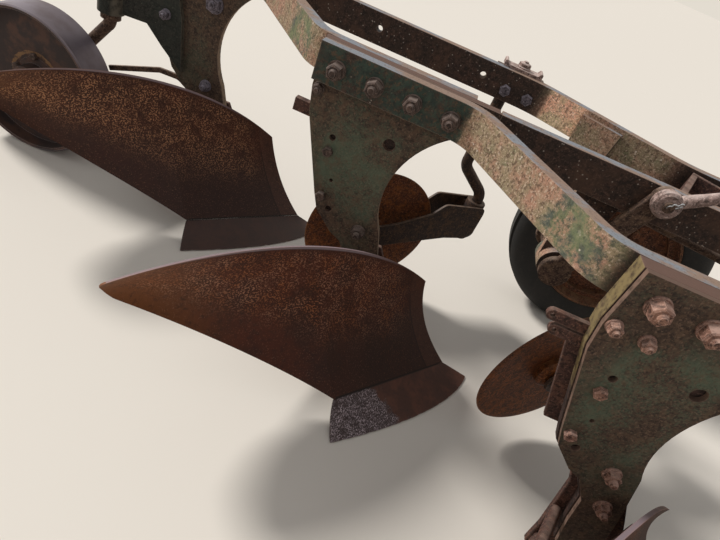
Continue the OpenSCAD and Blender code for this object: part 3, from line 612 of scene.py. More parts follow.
def sheet(front, back):
    """A closed sheet between two grids: both sides, and a rim of quads round them."""
    rows, columns = front.shape[:2]
    side = grid_quads(rows, columns)
    count = rows * columns
    index = np.arange(count).reshape(rows, columns)
    rim = np.concatenate([index[0, :-1], index[:-1, -1], index[-1, :0:-1], index[:0:-1, 0]])
    after = np.roll(rim, -1)
    wall = np.stack([rim, after, after + count, rim + count], -1)
    faces = np.concatenate([side, side[:, ::-1] + count, wall])
    return np.concatenate([front.reshape(-1, 3), back.reshape(-1, 3)]), faces


def marks_of(u, v):
    """Values for the points of three sheets: each has two sides with the same u and v."""
    sides = 2 * len(BOTTOMS)
    return {"along": np.tile(u.ravel(), sides), "across": np.tile(v.ravel(), sides)}


def moldboard():
    """The pressed sheet, on a grid with a line at the seam's end; an arc in u and v rounds off the tail."""
    u = np.concatenate([np.linspace(0, SEAM_U, 45), np.linspace(SEAM_U, 1, 90)[1:]])
    v = np.linspace(0, 1, 49)
    u, v = np.meshgrid(u, v, indexing="ij")
    past = np.clip((u - 1 + TAIL_ROUND) / TAIL_ROUND, 0, 1)
    width = np.sqrt(np.clip(1 - past**2, 0.0016, 1))
    v = 0.5 + (v - 0.5) * width
    grid = board_point(u, v)
    return sheet(grid, grid + BACK * BOARD_T), u, v


# %% [markdown]
# Soil has scoured the board, and rain has rusted it since. It is a red brown that turns almost black at the
# seam, with painted bounce light making it orange at the tail. A belt of fine tan pits follows the crest,
# where dry soil stays, and a painted highlight runs along the crest.
# The two parameters of the surface are kept on its points, so the belt can follow the crest.

# %% Pitted rust of the boards
def on_rear_bottom(coat):
    """Where the rear board and share are: all that lies landward of a slanted line across the plough."""
    return (coat.where("Y") - coat.where("X") * 0.5).between(0.02, 0.05)


def pitted_rust(name):
    """Red-brown rust whose tone goes by place on the board, with a belt of tan pits below the crest; the
    orange tail is painted bounce light and the lilac crest line a painted highlight.
    """
    coat = Finish(name)
    along, across, rearmost = coat.mark("along"), coat.mark("across"), on_rear_bottom(coat)
    coat.colour = coat.mix(coat.grain(90, 6).between(0.4, 0.62), "#321408", "#431b0a")
    # Painted bounce light: the tail turns orange
    coat.lay(along.between(0.66, 1.0) * 0.8, "#74431d")
    coat.lay(rearmost * 0.5, "#33190f")
    coat.lay(along.between(0.72, 0.25) * across.between(0.85, 0.3) * 0.8, "#261712")
    coat.lay(rearmost * (across.between(0.7, 0.3) * 0.6), "#2b1815")
    coat.lay(along.between(0.075, 0.065) * 0.35, "#54362a")
    coat.lay(coat.grain(13, 6, 0.7, (3, 1, 2)).between(0.48, 0.68) * 0.55, "#1f100a")

    belt = across.between(0.22, 0.62) * across.between(0.995, 0.93)
    belt = belt * (along.between(0.03, 0.2) * along.between(1.0, 0.9))
    clusters = coat.grain(40, 5, 0.7, (6, 1, 3)).between(0.3, 0.58)
    pits = coat.grain(3.2, 2, 0.5, (1, 5, 2)).between(0.53, 0.58) * (belt * clusters * 0.85)
    pits = pits | coat.grain(3.0, 2, 0.5, (9, 5, 2)).between(0.58, 0.68) * 0.2
    tan = coat.mix(coat.grain(50, 3, seed=(4, 4, 4)).between(0.4, 0.6), "#8a5330", "#966950")
    coat.lay(pits, coat.mix(rearmost, tan, "#a17250"))

    shin_joint = along.near(0.072, 0.0025) * across.between(0.8, 0.7)
    coat.lay(shin_joint * 0.6, "#1b100d")
    coat.lay(across.between(0.016, 0.006) * along.between(SEAM_U, SEAM_U - 0.01), "#17100d")
    # Painted highlight: a thin lilac line along the crest
    coat.lay(across.between(0.980, 0.990) * (along.between(0.08, 0.3) * 0.7), "#8b7c80")
    outer = across.between(0.9, 0.95) | along.between(0.03, 0.0)
    coat.lay(coat.edges(0.003) * outer * 0.5, "#8c6757")
    fine, waves = coat.grain(4, 6, 0.75), coat.grain(90, 2, seed=(2, 8, 3))
    return coat.done(0.7, 0.0, [(pits, 0.3, 0.4), (fine, 0.25, 0.3), (waves, 0.35, 4.0)], 0.3)


board_rust = pitted_rust("pitted rust of scoured steel")
board, board_u, board_v = moldboard()
boards = make_piece(
    "moldboard_sheets", [moved(board, bottom(i)) for i in BOTTOMS], "frame", board_rust, "board_rust",
    marks=marks_of(board_u, board_v),
)
bevelled(boards, 0.0018)
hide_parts("moldboards")

# %% [markdown]
# ## Shares
#
# The share is the blade that cuts the furrow's floor. It runs from the point along a curved edge to the
# wing, and meets the moldboard in a straight seam.

# %% Shares
SHARE_POINT = np.array([0.552, LAND_Y + 0.002, 0.0])
SHARE_WING = np.array([0.271, -0.285, 0.0])
CUTTING = np.array([SHARE_POINT, [0.540, -0.010, 0.0], [0.455, -0.135, 0.0], SHARE_WING])


def share_blade():
    """Mix of the cutting edge and the seam, lifted a little, hollow between them; the edge is chipped."""
    u, v = np.meshgrid(np.linspace(0, 1, 90), np.linspace(0, 1, 18), indexing="ij")
    seam = SEAM_FRONT + (SEAM_WING - SEAM_FRONT) * u[..., None]
    low = bezier(CUTTING, u)
    chips = 0.006 * (np.sin(u * 61) * np.sin(u * 23 + 1) + 0.4 * np.sin(u * 157)) ** 2 * (1 - v) ** 5
    across = np.clip(v + chips, 0, 1)
    front = low + (seam - low) * across[..., None]
    front = front + np.array([0, 0, 0.004]) * (1 - v)[..., None]
    front = front + np.array([-0.004, 0.006, -0.004]) * (4 * v * (1 - v))[..., None]
    return sheet(front, front + np.array([-0.002, 0.003, -0.004])), u, v


def share_steel(name):
    """Red-brown blade; towards the wing it is dark scale, scratched to lilac-grey flakes."""
    coat = Finish(name)
    along, across = coat.mark("along"), coat.mark("across")
    ragged = along + coat.grain(40, 5, seed=(9, 2, 5)) * 0.4
    wing = ragged.between(0.86, 0.92) * coat.where("X").near(0.41, 0.2)
    coat.colour = coat.mix(coat.grain(40, 6).between(0.4, 0.64), "#402319", "#532f21")
    coat.lay(coat.grain(9, 6, 0.7, (3, 1, 2)).between(0.48, 0.68) * 0.6, "#281712")
    coat.lay(on_rear_bottom(coat) * 0.7, "#2a1c1b")
    coat.lay(wing * 0.85, "#33282a")
    flakes = coat.grain(3.6, 4, 0.7, (1, 4, 6), stretch=(1.6, 1, 0.6)).between(0.5, 0.58)
    fewer = coat.grain(22, 4, 0.6, (2, 2, 6)).between(0.3, 0.6)
    coat.lay(flakes * fewer * wing, "#ab9c9f")
    coat.lay(across.between(0.955, 0.985) * 0.7, "#1b1311")
    coat.lay(coat.edges(0.003) * across.between(0.5, 0.3) * 0.5, "#7c645c")
    return coat.done(0.65, 0.1, [(coat.grain(4, 6, 0.8), 0.4, 0.5)])


blade_steel = share_steel("worn share steel")
blade, blade_u, blade_v = share_blade()
shares = make_piece(
    "share_blades", [moved(blade, bottom(i)) for i in BOTTOMS], "frame", blade_steel, "share_steel",
    marks=marks_of(blade_u, blade_v),
)
bevelled(shares, 0.0008, 1)
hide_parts("shares")

# %% [markdown]
# ## Bolts
#
# A plough is held together by hex bolts, nuts on long studs and thick round washers, all about the same
# rust. Each fastener is turned from a short profile: with six sides it is a nut, with many a washer.

# %% Fasteners
def nut(at, way, across=0.030, height=0.022, start=0.0):
    """Hex nut or head: six sides with a chamfer at the outer rim; across is over the flats."""
    r = across / 2 / math.cos(math.pi / 6)
    c = 0.08 * across
    profile = [(0, -0.001), (r, -0.001), (r, height - c), (r - c * 1.3, height), (0, height)]
    return turned(profile, at, way, 6, start)


def washer(at, way, radius=0.021, height=0.004):
    """Flat ring, drawn as a closed disc."""
    profile = [(0, -0.001), (radius, -0.001), (radius, height * 0.7), (radius - 0.001, height), (0, height)]
    return turned(profile, at, way, 28)


def stud(at, way, radius=0.009, height=0.032):
    """Threaded end with a chamfer and coarse rings for the thread."""
    rings = np.arange(0.0, height - 0.003, 0.002)
    z = np.repeat(rings, 2) + np.tile([0.0, 0.001], len(rings))
    r = radius - np.tile([0.0, 0.0009], len(rings))
    profile = [(0, -0.001), *zip(r, z), (radius * 0.72, height), (0, height)]
    return turned(profile, at, way, 16)


def bolt_end(at, way, across=0.030, height=0.022, start=0.0, over=0.010):
    """Washer, nut and the stud that stands out of it."""
    at, way = np.asarray(at, float), unit(way)
    return [
        washer(at, way, across * 0.66),
        nut(at + way * 0.004, way, across, height, start),
        stud(at + way * 0.004, way, across * 0.3, height + over),
    ]


NEAR = (0.0, -1.0, 0.0)
FAR = (0.0, 1.0, 0.0)


def on_standard(i, x, z, y=0.0):
    """A point on a standard, from its first frame bolt."""
    return bottom(i) + np.array([x, y, BOLT_ROW + z])


# %% Bolts of the bottoms
# Each place is (along, up) from the first frame bolt of its standard
ROW_X = (0.0, 0.0732, 0.1464, 0.2196)
ROW_Z = -0.004
SMALL = ((-0.026, -0.055), (0.023, -0.057))
HEADS = ((0.027, -0.166), (0.042, -0.266))
FOOT = ((0.144, -0.311), (0.181, -0.392))
PACK_T = 0.014
BOLT_FINISH = (rear_bolt_rust, middle_bolt_rust, front_bolt_rust)
# Ends that only the rear standard shows: (along, up, aside, across the flats)
EXTRA_ENDS = {-1: ((0.135, -0.103, 0.0, 0.034), (0.020, -0.170, -0.014, 0.020))}
CLAMP_HEADS = (0.865, 0.921)
FROG_T = 0.012
LANDSIDE_HEADS = (0.260, 0.330)
for i in BOTTOMS:
    frame_bolts = []
    near_y = -BAR_T if i < 1 else 0.0
    far_y = (BAR_T, 2 * BAR_T, 2 * BAR_T + PACK_T)[i + 1]
    for k, x in enumerate(ROW_X):
        twist = 0.3 + 0.7 * k + i
        frame_bolts += bolt_end(on_standard(i, x, ROW_Z, near_y), NEAR, 0.0265, 0.020, twist, 0.007)
        frame_bolts.append(nut(on_standard(i, x, ROW_Z, far_y), FAR, 0.027, 0.014, 0.4 * k))
    for k, (x, z) in enumerate(SMALL):
        # The middle standard has only the first of its two small bolts
        if not (i == 0 and k == 1):
            frame_bolts += bolt_end(on_standard(i, x, z), NEAR, 0.018, 0.012, 0.2 + x * 9, 0.005)
    for x, z in HEADS:
        frame_bolts.append(nut(on_standard(i, x, z), NEAR, 0.019, 0.010, 0.5))
    for x, z in FOOT:
        frame_bolts += bolt_end(on_standard(i, x, z), NEAR, 0.024, 0.012, 0.8, 0.010)
    for x, z, y, across in EXTRA_ENDS.get(i, ()):
        frame_bolts += bolt_end(on_standard(i, x, z, y), NEAR, across, 0.014, 0.2, 0.005)
        frame_bolts.append(nut(on_standard(i, x, z, BAR_T + FROG_T), FAR, 0.024, 0.012, 0.3))
    for x in LANDSIDE_HEADS:
        frame_bolts.append(nut(bottom(i) + [x, LAND_Y, 0.060], FAR, 0.024, 0.008, x))
    for x in CLAMP_HEADS:
        frame_bolts.append(nut(on_standard(i, x, -0.011), NEAR, 0.024, 0.012, 0.3 * x))
    make_piece(f"bottom_{i + 2}_bolts", frame_bolts, "frame", BOLT_FINISH[i + 1], sharp=30)

# %% Bolts of the frame's joints
AHEAD = (1.0, 0.0, 0.0)
HEAD_FRONT = 1.560
HEAD_BOLTS_Y = (-0.343, 0.013, 0.259)
HEAD_BOLTS_Z = (0.622, 0.656)
HITCH = np.array([1.600, 0.0, 0.430])
CHEEK_FACES = ((-0.146, -0.074), (0.144, 0.216))
LEVER_BRACKET_X = (1.070, 1.140, 1.210)
LEVER_BRACKET_FACE = 0.038
joint_bolts = []
for y in HEAD_BOLTS_Y:
    for z in HEAD_BOLTS_Z:
        joint_bolts += bolt_end([HEAD_FRONT, y, z], AHEAD, 0.024, 0.012, 10 * y, 0.006)
for near_face, far_face in CHEEK_FACES:
    joint_bolts += bolt_end(HITCH + [0, near_face, 0], NEAR, 0.036, 0.016, 0.2, 0.008)
    joint_bolts.append(nut(HITCH + [0, far_face, 0], FAR, 0.036, 0.014, 0.4))
for x in LEVER_BRACKET_X:
    joint_bolts.append(nut([x, 0.0, BOLT_ROW], NEAR, 0.024, 0.012, x))
    joint_bolts += bolt_end([x, LEVER_BRACKET_FACE, BOLT_ROW], FAR, 0.024, 0.012, x, 0.006)
make_piece("joint_bolts", joint_bolts, "frame", middle_bolt_rust, sharp=30)
print("bolts on three bottoms and the frame's joints")

# %% [markdown]
# ## Coulters
#
# A rolling coulter slices the ground ahead of each bottom. Its disc is dished steel with a sharp rim on
# a cast hub, and its yoke is a forging that reaches back from the sleeve on the cranked shank.

# %% Coulter layout
CLAMP = np.array([0.870, 0.044, 0.0])
CRANK = 0.075
TRAIL = 0.285
DISC_R = 0.178
DISC_HALF_T = 0.0022
HUB_Z = DISC_R + 0.012
COULTERS = {"rear": -1, "middle": 0, "front": 1}
UP = np.array([0.0, 0.0, 1.0])


def heading(degrees):
    """Level direction at that angle from straight ahead, to the left."""
    a = math.radians(degrees)
    return np.array([math.cos(a), math.sin(a), 0.0])


def setting(i):
    """Turn of the shank, its lift and the swing of the yoke: the middle one was clamped another way."""
    return (72.0, 0.034, 34.0) if i == 0 else (0.0, 0.0, 32.0)


def swung(i):
    """Places points given as (behind the swivel, aside, height) where the coulter of bottom i stands."""
    turn, lift, swing = setting(i)
    swivel = bottom(i) + CLAMP + heading(turn) * CRANK + UP * lift

    def place(points):
        p = np.asarray(points, float)
        return swivel - p[..., :1] * heading(swing) + p[..., 1:2] * heading(swing + 90) + p[..., 2:] * UP

    return place, heading(swing + 90)


# %% Discs
def disc(i):
    """Dished blade: the face bows by 9 mm towards the hub, and the rim is ground to an edge."""
    place, aside = swung(i)
    r = np.linspace(0.036, DISC_R - 0.010, 12)
    bow = 0.009 * (1 - (r / DISC_R) ** 2)
    face = [(a, b - DISC_HALF_T) for a, b in zip(r, bow)]
    back = [(a, b + DISC_HALF_T) for a, b in zip(r[::-1], bow[::-1])]
    hub_back = [(0.036, 0.014), (0.030, 0.019), (0.021, 0.0205), (0.0, 0.0205)]
    hub_face = [(0.0, -0.0205), (0.022, -0.0205), (0.032, -0.017), (0.040, -0.008)]
    profile = hub_face + face + [(DISC_R, 0.0)] + back + hub_back
    return turned(profile, place([TRAIL, 0, HUB_Z]), aside, 96)


# The orange of the disc steel is partly its rust and partly painted bounce light from the ground
disc_rust = rusted_steel(
    "rusted disc steel", "#542a10", "#743f14", "#2c170b", "#7a5230", "#8a6444", rough=0.62, spots=0.15
)
for name, i in COULTERS.items():
    piece = make_piece(f"{name}_disc_blade", [disc(i)], f"{name}_coulter_disc", disc_rust)
    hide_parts(f"disc_{name}")

# %% [markdown]
# The yoke is two flat arms joined at the sleeve. Each arm is an outline cut from plate, deep at the sleeve
# and narrow at the hub, so the outline is drawn once and given its thickness.

# %% Yokes
def plate(outline, place, low, high):
    """Outline given its thickness: place() puts (along, across, up) in the layout."""
    outline = np.asarray(outline, float)
    n = len(outline)
    rings = [place(np.column_stack([outline[:, 0], np.full(n, y), outline[:, 1]])) for y in (low, high)]
    faces = grid_quads(2, n, wrap_columns=True).tolist() + [list(range(n)), list(range(n, 2 * n))]
    return np.concatenate(rings), faces


ARM_T = 0.007
ARM_IN = 0.026
YOKE_ARM = [
    (-0.014, 0.318), (-0.018, 0.300), (-0.018, 0.226), (0.0, 0.214), (0.070, 0.208), (0.200, 0.176),
    (0.250, 0.162), (0.285, 0.158), (0.308, 0.168), (0.317, 0.190), (0.308, 0.212), (0.285, 0.222),
    (0.230, 0.238), (0.142, 0.280), (0.110, 0.316),
]


def yoke(i):
    """Two arms, the sleeve between them, filler blocks and the hub's bolt."""
    place, aside = swung(i)
    arm = rounded(YOKE_ARM, 0.020)
    shapes = [plate(arm, place, s, s + ARM_T) for s in (-ARM_IN - ARM_T, ARM_IN)]
    sleeve = [(0.0151, 0.216), (0.0255, 0.216), (0.027, 0.219), (0.027, 0.319), (0.0255, 0.322)]
    sleeve += [(0.0151, 0.322), sleeve[0]]
    shapes.append(turned(sleeve, place([0, 0, 0]), UP, 40))
    block = rounded([(-0.014, 0.232), (0.022, 0.232), (0.022, 0.308), (-0.014, 0.308)], 0.006)
    shapes += [plate(block, place, s, s + 0.008) for s in (-ARM_IN - 0.001, ARM_IN - 0.007)]
    for side in (-1, 1):
        end = place([TRAIL, side * (ARM_IN + ARM_T), HUB_Z])
        shapes += bolt_end(end, aside * side, 0.026, 0.010, 0.3, 0.0)
    pin = [(0, -0.03), (0.009, -0.03), (0.009, 0.03), (0, 0.03)]
    shapes.append(turned(pin, place([TRAIL, 0, HUB_Z]), aside, 24))
    return join(shapes)


for name, i in COULTERS.items():
    piece = make_piece(f"{name}_yoke_forging", [yoke(i)], f"{name}_coulter_yoke", dark_iron)
    bevelled(piece, 0.0018)
    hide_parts(f"yoke_{name}")

# %% Shanks
def shank(i):
    """Round bar bent twice below the frame, with the collar that carries the yoke."""
    turn, lift, _ = setting(i)
    top = bottom(i) + CLAMP + UP * lift
    foot = top + heading(turn) * CRANK
    corners = [top + UP * 0.680, top + UP * 0.404, foot + UP * 0.346, foot + UP * 0.201]
    bar = swept(rounded(corners, 0.034, 12, closed=False), circle(0.015, 28), up=heading(turn + 90))
    collar = turned([(0, 0.202), (0.021, 0.202), (0.023, 0.204), (0.023, 0.2145), (0, 0.2145)], foot, UP, 32)
    return join([bar, collar])


shanks = make_piece("coulter_shank_bars", [shank(i) for i in BOTTOMS], "frame", dark_iron)
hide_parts("coulter_shanks")

# %% [markdown]
# Each clamp is closed from above by a strap with turned-up ends and a nut. Behind the rear bottom a flat
# strip runs from its leg towards the wheel.

# %% Straps
def clamp_top(i):
    """Strap over the bar's upper edge: a bar with two lugs, and a nut on a stud in the middle."""
    middle = bottom(i) + [0.885, 0.038, BAR_TOP]

    def place(points):
        return middle + np.asarray(points, float)

    half = [(0.048, 0.0), (0.048, 0.014), (0.042, 0.015), (0.037, 0.007)]
    strap = half + [(-x, z) for x, z in half[::-1]]
    shapes = [plate(rounded(strap, 0.003), place, -0.020, 0.020)]
    shapes += bolt_end(place([0, 0, 0.007]), UP, 0.026, 0.009, 0.4, 0.004)
    return join(shapes)


tops = make_piece("coulter_clamp_tops", [clamp_top(i) for i in BOTTOMS], "frame", forged_rust)
bevelled(tops, 0.001)

# %% Strip behind the rear bottom
STRIP_Y = 0.369
STRIP_LINE = ((-0.684, 0.256), (-0.537, 0.311), (-0.480, 0.314), (-0.442, 0.292))
STRIP_SECTION = ((-0.007, -0.004), (0.007, -0.004), (0.007, 0.004), (-0.007, 0.004))
strip_path = rounded([(x, STRIP_Y, z) for x, z in STRIP_LINE], 0.030, 8, closed=False)
strip = swept(strip_path, STRIP_SECTION, up=(0, 1, 0))
rear_strip = make_piece("rear_strip", [strip], "frame", axle_rust)
bevelled(rear_strip, 0.001)

# %% [markdown]
# ## Wheels
#
# The land wheel is an old car wheel: a pressed rim with stepped ridges and a worn rubber tyre. The tread
# is a lathe profile whose outer rows dip into grooves round the tyre.

# %% Tyre
TYRE_R = 0.290
TYRE_W = 0.136
RIM_R = 0.186
LAND_HUB = np.array([0.848, 0.552, TYRE_R])


def tyre():
    """Closed lathe profile of an old cross-ply tyre: bead, round sidewall, shoulder and four tread ribs."""
    h = TYRE_W / 2
    side = [
        (RIM_R + 0.002, -h + 0.012), (RIM_R + 0.008, -h + 0.006), (RIM_R + 0.018, -h + 0.003),
        (TYRE_R - 0.074, -h + 0.0008), (TYRE_R - 0.058, -h), (TYRE_R - 0.042, -h + 0.002),
        (TYRE_R - 0.026, -h + 0.007), (TYRE_R - 0.013, -h + 0.015), (TYRE_R - 0.006, -h + 0.024),
    ]
    tread = []
    for y in (-0.034, -0.011, 0.011, 0.034):
        top = TYRE_R - 0.6 * y * y / h
        tread += [(top - 0.0005, y - 0.0085), (top, y + 0.0085)]
        if y < 0.03:
            tread += [(top - 0.006, y + 0.0100), (top - 0.006, y + 0.0130)]
    profile = side + tread + [(r, -y) for r, y in side[::-1]]
    profile.append(profile[0])
    return turned(profile, LAND_HUB, FAR, 120)


def perished_rubber(name):
    """Tyre rubber that has dried out: near black, dusty on the tread and cracked finely along the wall."""
    coat = Finish(name)
    coat.colour = coat.mix(coat.grain(60, 5).between(0.4, 0.65), "#100f0e", "#1a1715")
    coat.lay(coat.grain(7, 6, 0.75).between(0.52, 0.7) * 0.5, "#3a322b")
    coat.lay(coat.facing("Z", 0.2, 0.9) * 0.3, "#4d443c")
    return coat.done(0.78, 0.0, [(coat.grain(3, 5, 0.7), 0.3, 0.5)])


rubber = perished_rubber("perished tyre rubber")
tyre_piece = make_piece("worn_tyre", [tyre()], "land_wheel", rubber, "tyre_rubber")
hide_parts("land_tyre")

# %% Rim of the land wheel
def nut_ring(hub, radius, y, across, height, start=0.0):
    """Five nuts round a hub on the wheel's near side."""
    turns = start + 2 * math.pi * np.arange(5) / 5
    places = [hub + np.array([radius * math.cos(a), y, radius * math.sin(a)]) for a in turns]
    return [nut(at, NEAR, across, height, a) for at, a in zip(places, turns)]


def rim():
    """Pressed wheel: stepped rim wall, a dished disc and the hub barrel."""
    h = TYRE_W / 2
    # Steps of the wall as (out from the rim's seat, in from the edge), first near and then far
    near_steps = [
        (0.004, 0.010), (0.004, 0.004), (-0.002, 0.002), (-0.006, 0.008),
        (-0.012, 0.020), (-0.013, 0.030), (-0.026, 0.034), (-0.028, 0.050),
    ]
    far_steps = [
        (-0.020, 0.040), (-0.008, 0.030), (-0.006, 0.010), (-0.002, 0.002),
        (0.004, 0.004), (0.004, 0.010), (0.0, 0.012),
    ]
    wall = [(RIM_R + out, inward - h) for out, inward in near_steps]
    wall_far = [(RIM_R + out, h - inward) for out, inward in far_steps]
    dish = [(0.140, -0.020), (0.125, -0.030), (0.100, -0.034), (0.078, -0.030), (0.062, -0.038)]
    hub_near = [(0.048, -0.040), (0.048, -h - 0.010), (0.044, -h - 0.016), (0.0195, -h - 0.016)]
    hub_far = [(0.0195, h + 0.012), (0.044, h + 0.012), (0.048, h + 0.006), (0.048, -0.034)]
    dish_far = [(0.062, -0.032), (0.078, -0.024), (0.100, -0.028), (0.125, -0.024), (0.140, -0.014)]
    dish_far.append((RIM_R - 0.022, -0.006))
    profile = wall + dish + hub_near + hub_far + dish_far + wall_far + [(RIM_R, 0.012 - h), wall[0]]
    return join([turned(profile, LAND_HUB, FAR, 96), *nut_ring(LAND_HUB, 0.090, -0.034, 0.022, 0.014)])


rim_rust = rusted_steel("rusted wheel rim", "#50301f", "#75482f", "#2c1c16", "#8a6a4e", "#a3815a", rough=0.75)
rim_piece = make_piece("pressed_rim", [rim()], "land_wheel", rim_rust)
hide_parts("land_rim")

# %% [markdown]
# The two furrow wheels are steel: a rolled rim, a dished web of plate and a cast hub. Their rims run on
# the ground, so the rust is rubbed to a grey polish there.

# %% Steel wheels
def steel_wheel(hub, radius, width, bore):
    """Closed lathe profile: rim with rounded lips, a web that dishes towards the hub, and the hub barrel."""
    h = width / 2
    lip = 0.010
    near = [(radius - lip, -h + 0.002), (radius - 0.004, -h), (radius, -h + 0.004)]
    far = [(r, -y) for r, y in near[::-1]]
    inner_far = [(radius - lip, 0.004), (radius - 0.020, 0.002), (radius * 0.62, -0.006), (0.056, 0.004)]
    hub_far = [(0.042, 0.012), (0.042, h), (0.038, h + 0.004), (bore, h + 0.004)]
    hub_near = [(bore, -h - 0.004), (0.038, -h - 0.004), (0.042, -h), (0.042, -0.012)]
    inner_near = [(0.056, -0.004), (radius * 0.62, -0.014), (radius - 0.020, -0.006), (radius - lip, -0.008)]
    profile = near + far + inner_far + hub_far + hub_near + inner_near
    profile.append(profile[0])
    return turned(profile, hub, FAR, 112)


def polished_rim(name, hub, radius):
    """Steel rubbed bright through rust: the radius from the hub picks the ring that runs on the ground."""
    coat = Finish(name)
    centre = coat.add("ShaderNodeVectorMath", {0: coat.place(), 1: tuple(hub)}, operation="SUBTRACT")
    flat = coat.add("ShaderNodeVectorMath", {0: centre, 1: (1, 0, 1)}, operation="MULTIPLY")
    away = coat.add("ShaderNodeVectorMath", {0: flat}, "Value", operation="LENGTH")
    coat.colour = coat.mix(coat.grain(40, 5).between(0.42, 0.64), "#2e2220", "#4a3228")
    wavy = away + coat.grain(22, 3, 0.5) * 0.014
    ring = wavy.near(0.075, 0.004) * coat.grain(16, 4, 0.6, (2, 2, 2)).between(0.35, 0.6)
    coat.lay(ring * coat.facing("Y", -0.3, -0.7) * 0.65, "#8f6a44")
    band = away.between(radius - 0.006, radius - 0.001)
    coat.lay(band, coat.mix(coat.grain(60, 5, 0.5).between(0.35, 0.7), "#6c646c", "#5c5156"))
    coat.lay(coat.edges(0.003) * 0.5, "#9a8a86")
    rough = coat.add("ShaderNodeMapRange", {"Value": band, "To Min": 0.78, "To Max": 0.48})
    metal = coat.add("ShaderNodeMapRange", {"Value": band, "To Min": 0.1, "To Max": 0.6})
    return coat.done(rough, metal, [(coat.grain(4, 6, 0.75), 0.2, 0.3)])


# Body, piece, hub, radius, width and bore
WHEELS = (
    ("furrow_wheel", "steel_furrow_wheel", np.array([1.250, -0.680, 0.265]), 0.265, 0.076, 0.01906),
    ("rear_wheel", "steel_rear_wheel", np.array([-0.825, 0.272, 0.190]), 0.190, 0.100, 0.01506),
)
for body, name, hub, radius, width, bore in WHEELS:
    finish = polished_rim("rubbed " + name.replace("_", " "), hub + ORIGIN, radius)
    piece = make_piece(name, [steel_wheel(hub, radius, width, bore)], body, finish, "worn_rim")
    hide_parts(body)
    web_nuts = nut_ring(hub, 0.060, -0.005, 0.016, 0.011, 0.4)
    make_piece(body + "_web_nuts", web_nuts, body, middle_bolt_rust, sharp=30)

# %% [markdown]
# ## Lift rod
#
# The rod that lifts the plough ends in forged eyes on hex-headed pins. A split pin of bright wire keeps
# each pin in.

# %% Lift rod
LAND_SHAFT = np.array([0.540, 0.0, 0.440])
LIFT_PIN = LAND_SHAFT + np.array([0.080, -0.035, 0.219])
LEVER_PIN = LIFT_PIN + np.array([0.600, 0.0, 0.400])
EYE_R = 0.026
EYE_W = 0.012
PIN_R = 0.01006


def forged_eye(at):
    """Ring with rounded shoulders round its pin hole."""
    profile = [
        (PIN_R, -EYE_W), (EYE_R - 0.006, -EYE_W), (EYE_R - 0.001, -EYE_W + 0.004), (EYE_R, 0.0),
        (EYE_R - 0.001, EYE_W - 0.004), (EYE_R - 0.006, EYE_W), (PIN_R, EYE_W), (PIN_R, -EYE_W),
    ]
    return turned(profile, at, FAR, 48)


def lift_rod():
    """Two eyes and the bar between them, which swells into each eye's neck."""
    along = unit(LEVER_PIN - LIFT_PIN)
    length = np.linalg.norm(LEVER_PIN - LIFT_PIN)
    s = np.linspace(EYE_R - 0.004, length - EYE_R + 0.004, 60)
    end = np.minimum(s, length - s)
    radius = 0.0105 + 0.004 * np.exp(-((end - EYE_R) / 0.020) ** 2)
    profile = circle(1.0, 24)[None] * np.minimum(radius, 0.0115)[:, None, None]
    bar = swept(LIFT_PIN + along * s[:, None], profile, up=(0, 1, 0))
    return join([forged_eye(LIFT_PIN), forged_eye(LEVER_PIN), bar])


rod = make_piece("forged_lift_rod", [lift_rod()], "lift_rod", forged_rust)
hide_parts("lift_rod")

# %% Wire clips
def hairpin(at, way, out):
    """Bent wire: a ring at the bend, then two legs of which one waves round the pin."""
    way, out = unit(way), unit(out)
    a = np.linspace(-0.5 * math.pi, 1.4 * math.pi, 24)
    s = np.linspace(0, 1, 24)
    ring = np.column_stack([0.005 * np.cos(a) - 0.005, 0.005 * np.sin(a)])
    leg = np.column_stack([0.018 * s, 0.002 * np.sin(3 * math.pi * s) + 0.005 * (1 - s)])
    back = np.column_stack([0.016 * s[::-1], -0.005 + 0.0 * s])
    flat = np.concatenate([back, ring[1:], leg[1:]])
    path = np.asarray(at, float) + flat[:, :1] * way + flat[:, 1:] * out
    return swept(path, circle(0.0012, 10), up=np.cross(way, out))


def bright_wire(name):
    """Zinc-coated spring wire: pale grey and still shiny, with dull spots."""
    coat = Finish(name)
    coat.colour = coat.mix(coat.grain(6, 4).between(0.45, 0.6), "#c3c5c8", "#8e8f92")
    return coat.done(0.35, 0.7)


zinc_wire = bright_wire("zinc spring wire")
rod_pin = hairpin(LIFT_PIN + [0.004, -0.016, 0.004], (0.75, 0, 0.66), (-0.5, -0.4, 0.8))
make_piece("lift_pin_wire", [rod_pin], "lift_rod", zinc_wire)
clamp_pin = hairpin(bottom(0) + [0.900, 0.004, BAR_TOP + 0.026], (0.7, -0.1, -0.2), (0.1, 0.8, 0.5))
make_piece("clamp_wire", [clamp_pin], "frame", zinc_wire)

# %% [markdown]
# ## Stage, light and camera
#
# The object stands on a plain pale floor. One sun with a wide angle shines from behind its left side,
# where the sun stood, so every shadow has a soft edge. An even sky and a weak lamp fill the near side. The
# camera stands where the photograph was taken.

# %% Stage
HALF_FLOOR = 60.0
floor_mesh = bpy.data.meshes.new("ground")
corners = [(x * HALF_FLOOR, y * HALF_FLOOR, 0.0) for x, y in ((-1, -1), (1, -1), (1, 1), (-1, 1))]
floor_mesh.from_pydata(corners, [], [(0, 1, 2, 3)])
# Pale ground, quite matt, so that the shadow shows on it and nothing gleams
floor_mesh.materials.append(Finish("pale ground", "#dcd3c6").done(0.95))
ground = bpy.data.objects.new("ground", floor_mesh)
bpy.context.scene.collection.objects.link(ground)

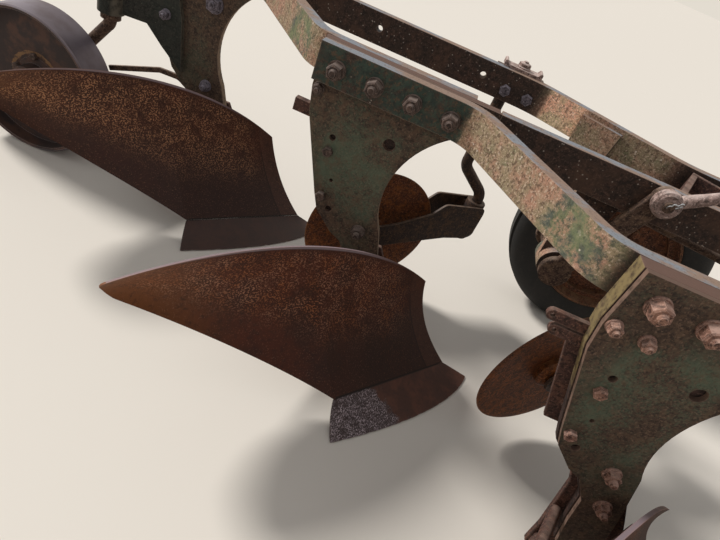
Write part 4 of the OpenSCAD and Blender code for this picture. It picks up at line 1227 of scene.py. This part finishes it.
# %% Sky
# A cool sky lights the plough, while the camera and the gleams see a warm, plain backdrop
world = bpy.data.worlds.new("sky")
bpy.context.scene.world = world
world.use_nodes = True
sky_tree = world.node_tree
sky_light = sky_tree.nodes["Background"]
sky_light.inputs["Color"].default_value = srgb("#e6e9ee")
sky_light.inputs["Strength"].default_value = 0.55
backdrop = add(sky_tree, "ShaderNodeBackground", {"Color": "#e3dcd0", "Strength": 1.0})
rays = add(sky_tree, "ShaderNodeLightPath").outputs
seen = either([Value(rays[f"Is {kind} Ray"]) for kind in ("Camera", "Glossy", "Transmission")])
layers = {0: seen, 1: Value(sky_light.outputs[0]), 2: Value(backdrop.outputs[0])}
both = add(sky_tree, "ShaderNodeMixShader", layers)
sky_tree.links.new(both.outputs[0], sky_tree.nodes["World Output"].inputs["Surface"])

# %% Lamps
PLOUGH_MIDDLE = (-0.4, 0.0, 0.3)


def aimed(name, lamp, at, towards):
    """Puts a lamp at a place and turns it to a point."""
    holder = bpy.data.objects.new(name, lamp)
    holder.location = at
    holder.rotation_euler = (Vector(at) - Vector(towards)).to_track_quat("Z", "Y").to_euler()
    bpy.context.scene.collection.objects.link(holder)
    return holder


key = bpy.data.lights.new("key lamp", "SUN")
key.angle = math.radians(12)
key.energy = 3.4
aimed("key lamp", key, (-9.2, 2.6, 7.6), PLOUGH_MIDDLE)
fill = bpy.data.lights.new("fill lamp", "AREA")
fill.size = 3.0
fill.energy = 25
aimed("fill lamp", fill, (0.5, -5.0, 4.6), PLOUGH_MIDDLE)

# %% Camera
FOCAL_PX = 521.3
PICTURE_W = 720
EYE = np.array([0.1718, -0.9477, 0.9392])
LOOK = np.array([0.00878, 0.80305, -0.59585])
RIGHT = np.array([0.91492, 0.23401, 0.32887])

lens = bpy.data.cameras.new("camera")
lens.sensor_width = 36.0
lens.lens = FOCAL_PX * lens.sensor_width / PICTURE_W
lens.clip_start = 0.05
camera = bpy.data.objects.new("camera", lens)
turn = np.column_stack([RIGHT, np.cross(RIGHT, LOOK), -LOOK])
rows = np.column_stack([turn, EYE + ORIGIN]).tolist()
camera.matrix_world = Matrix([*rows, [0, 0, 0, 1]])
bpy.context.scene.collection.objects.link(camera)
bpy.context.scene.camera = camera
bpy.context.scene.view_settings.view_transform = "Standard"
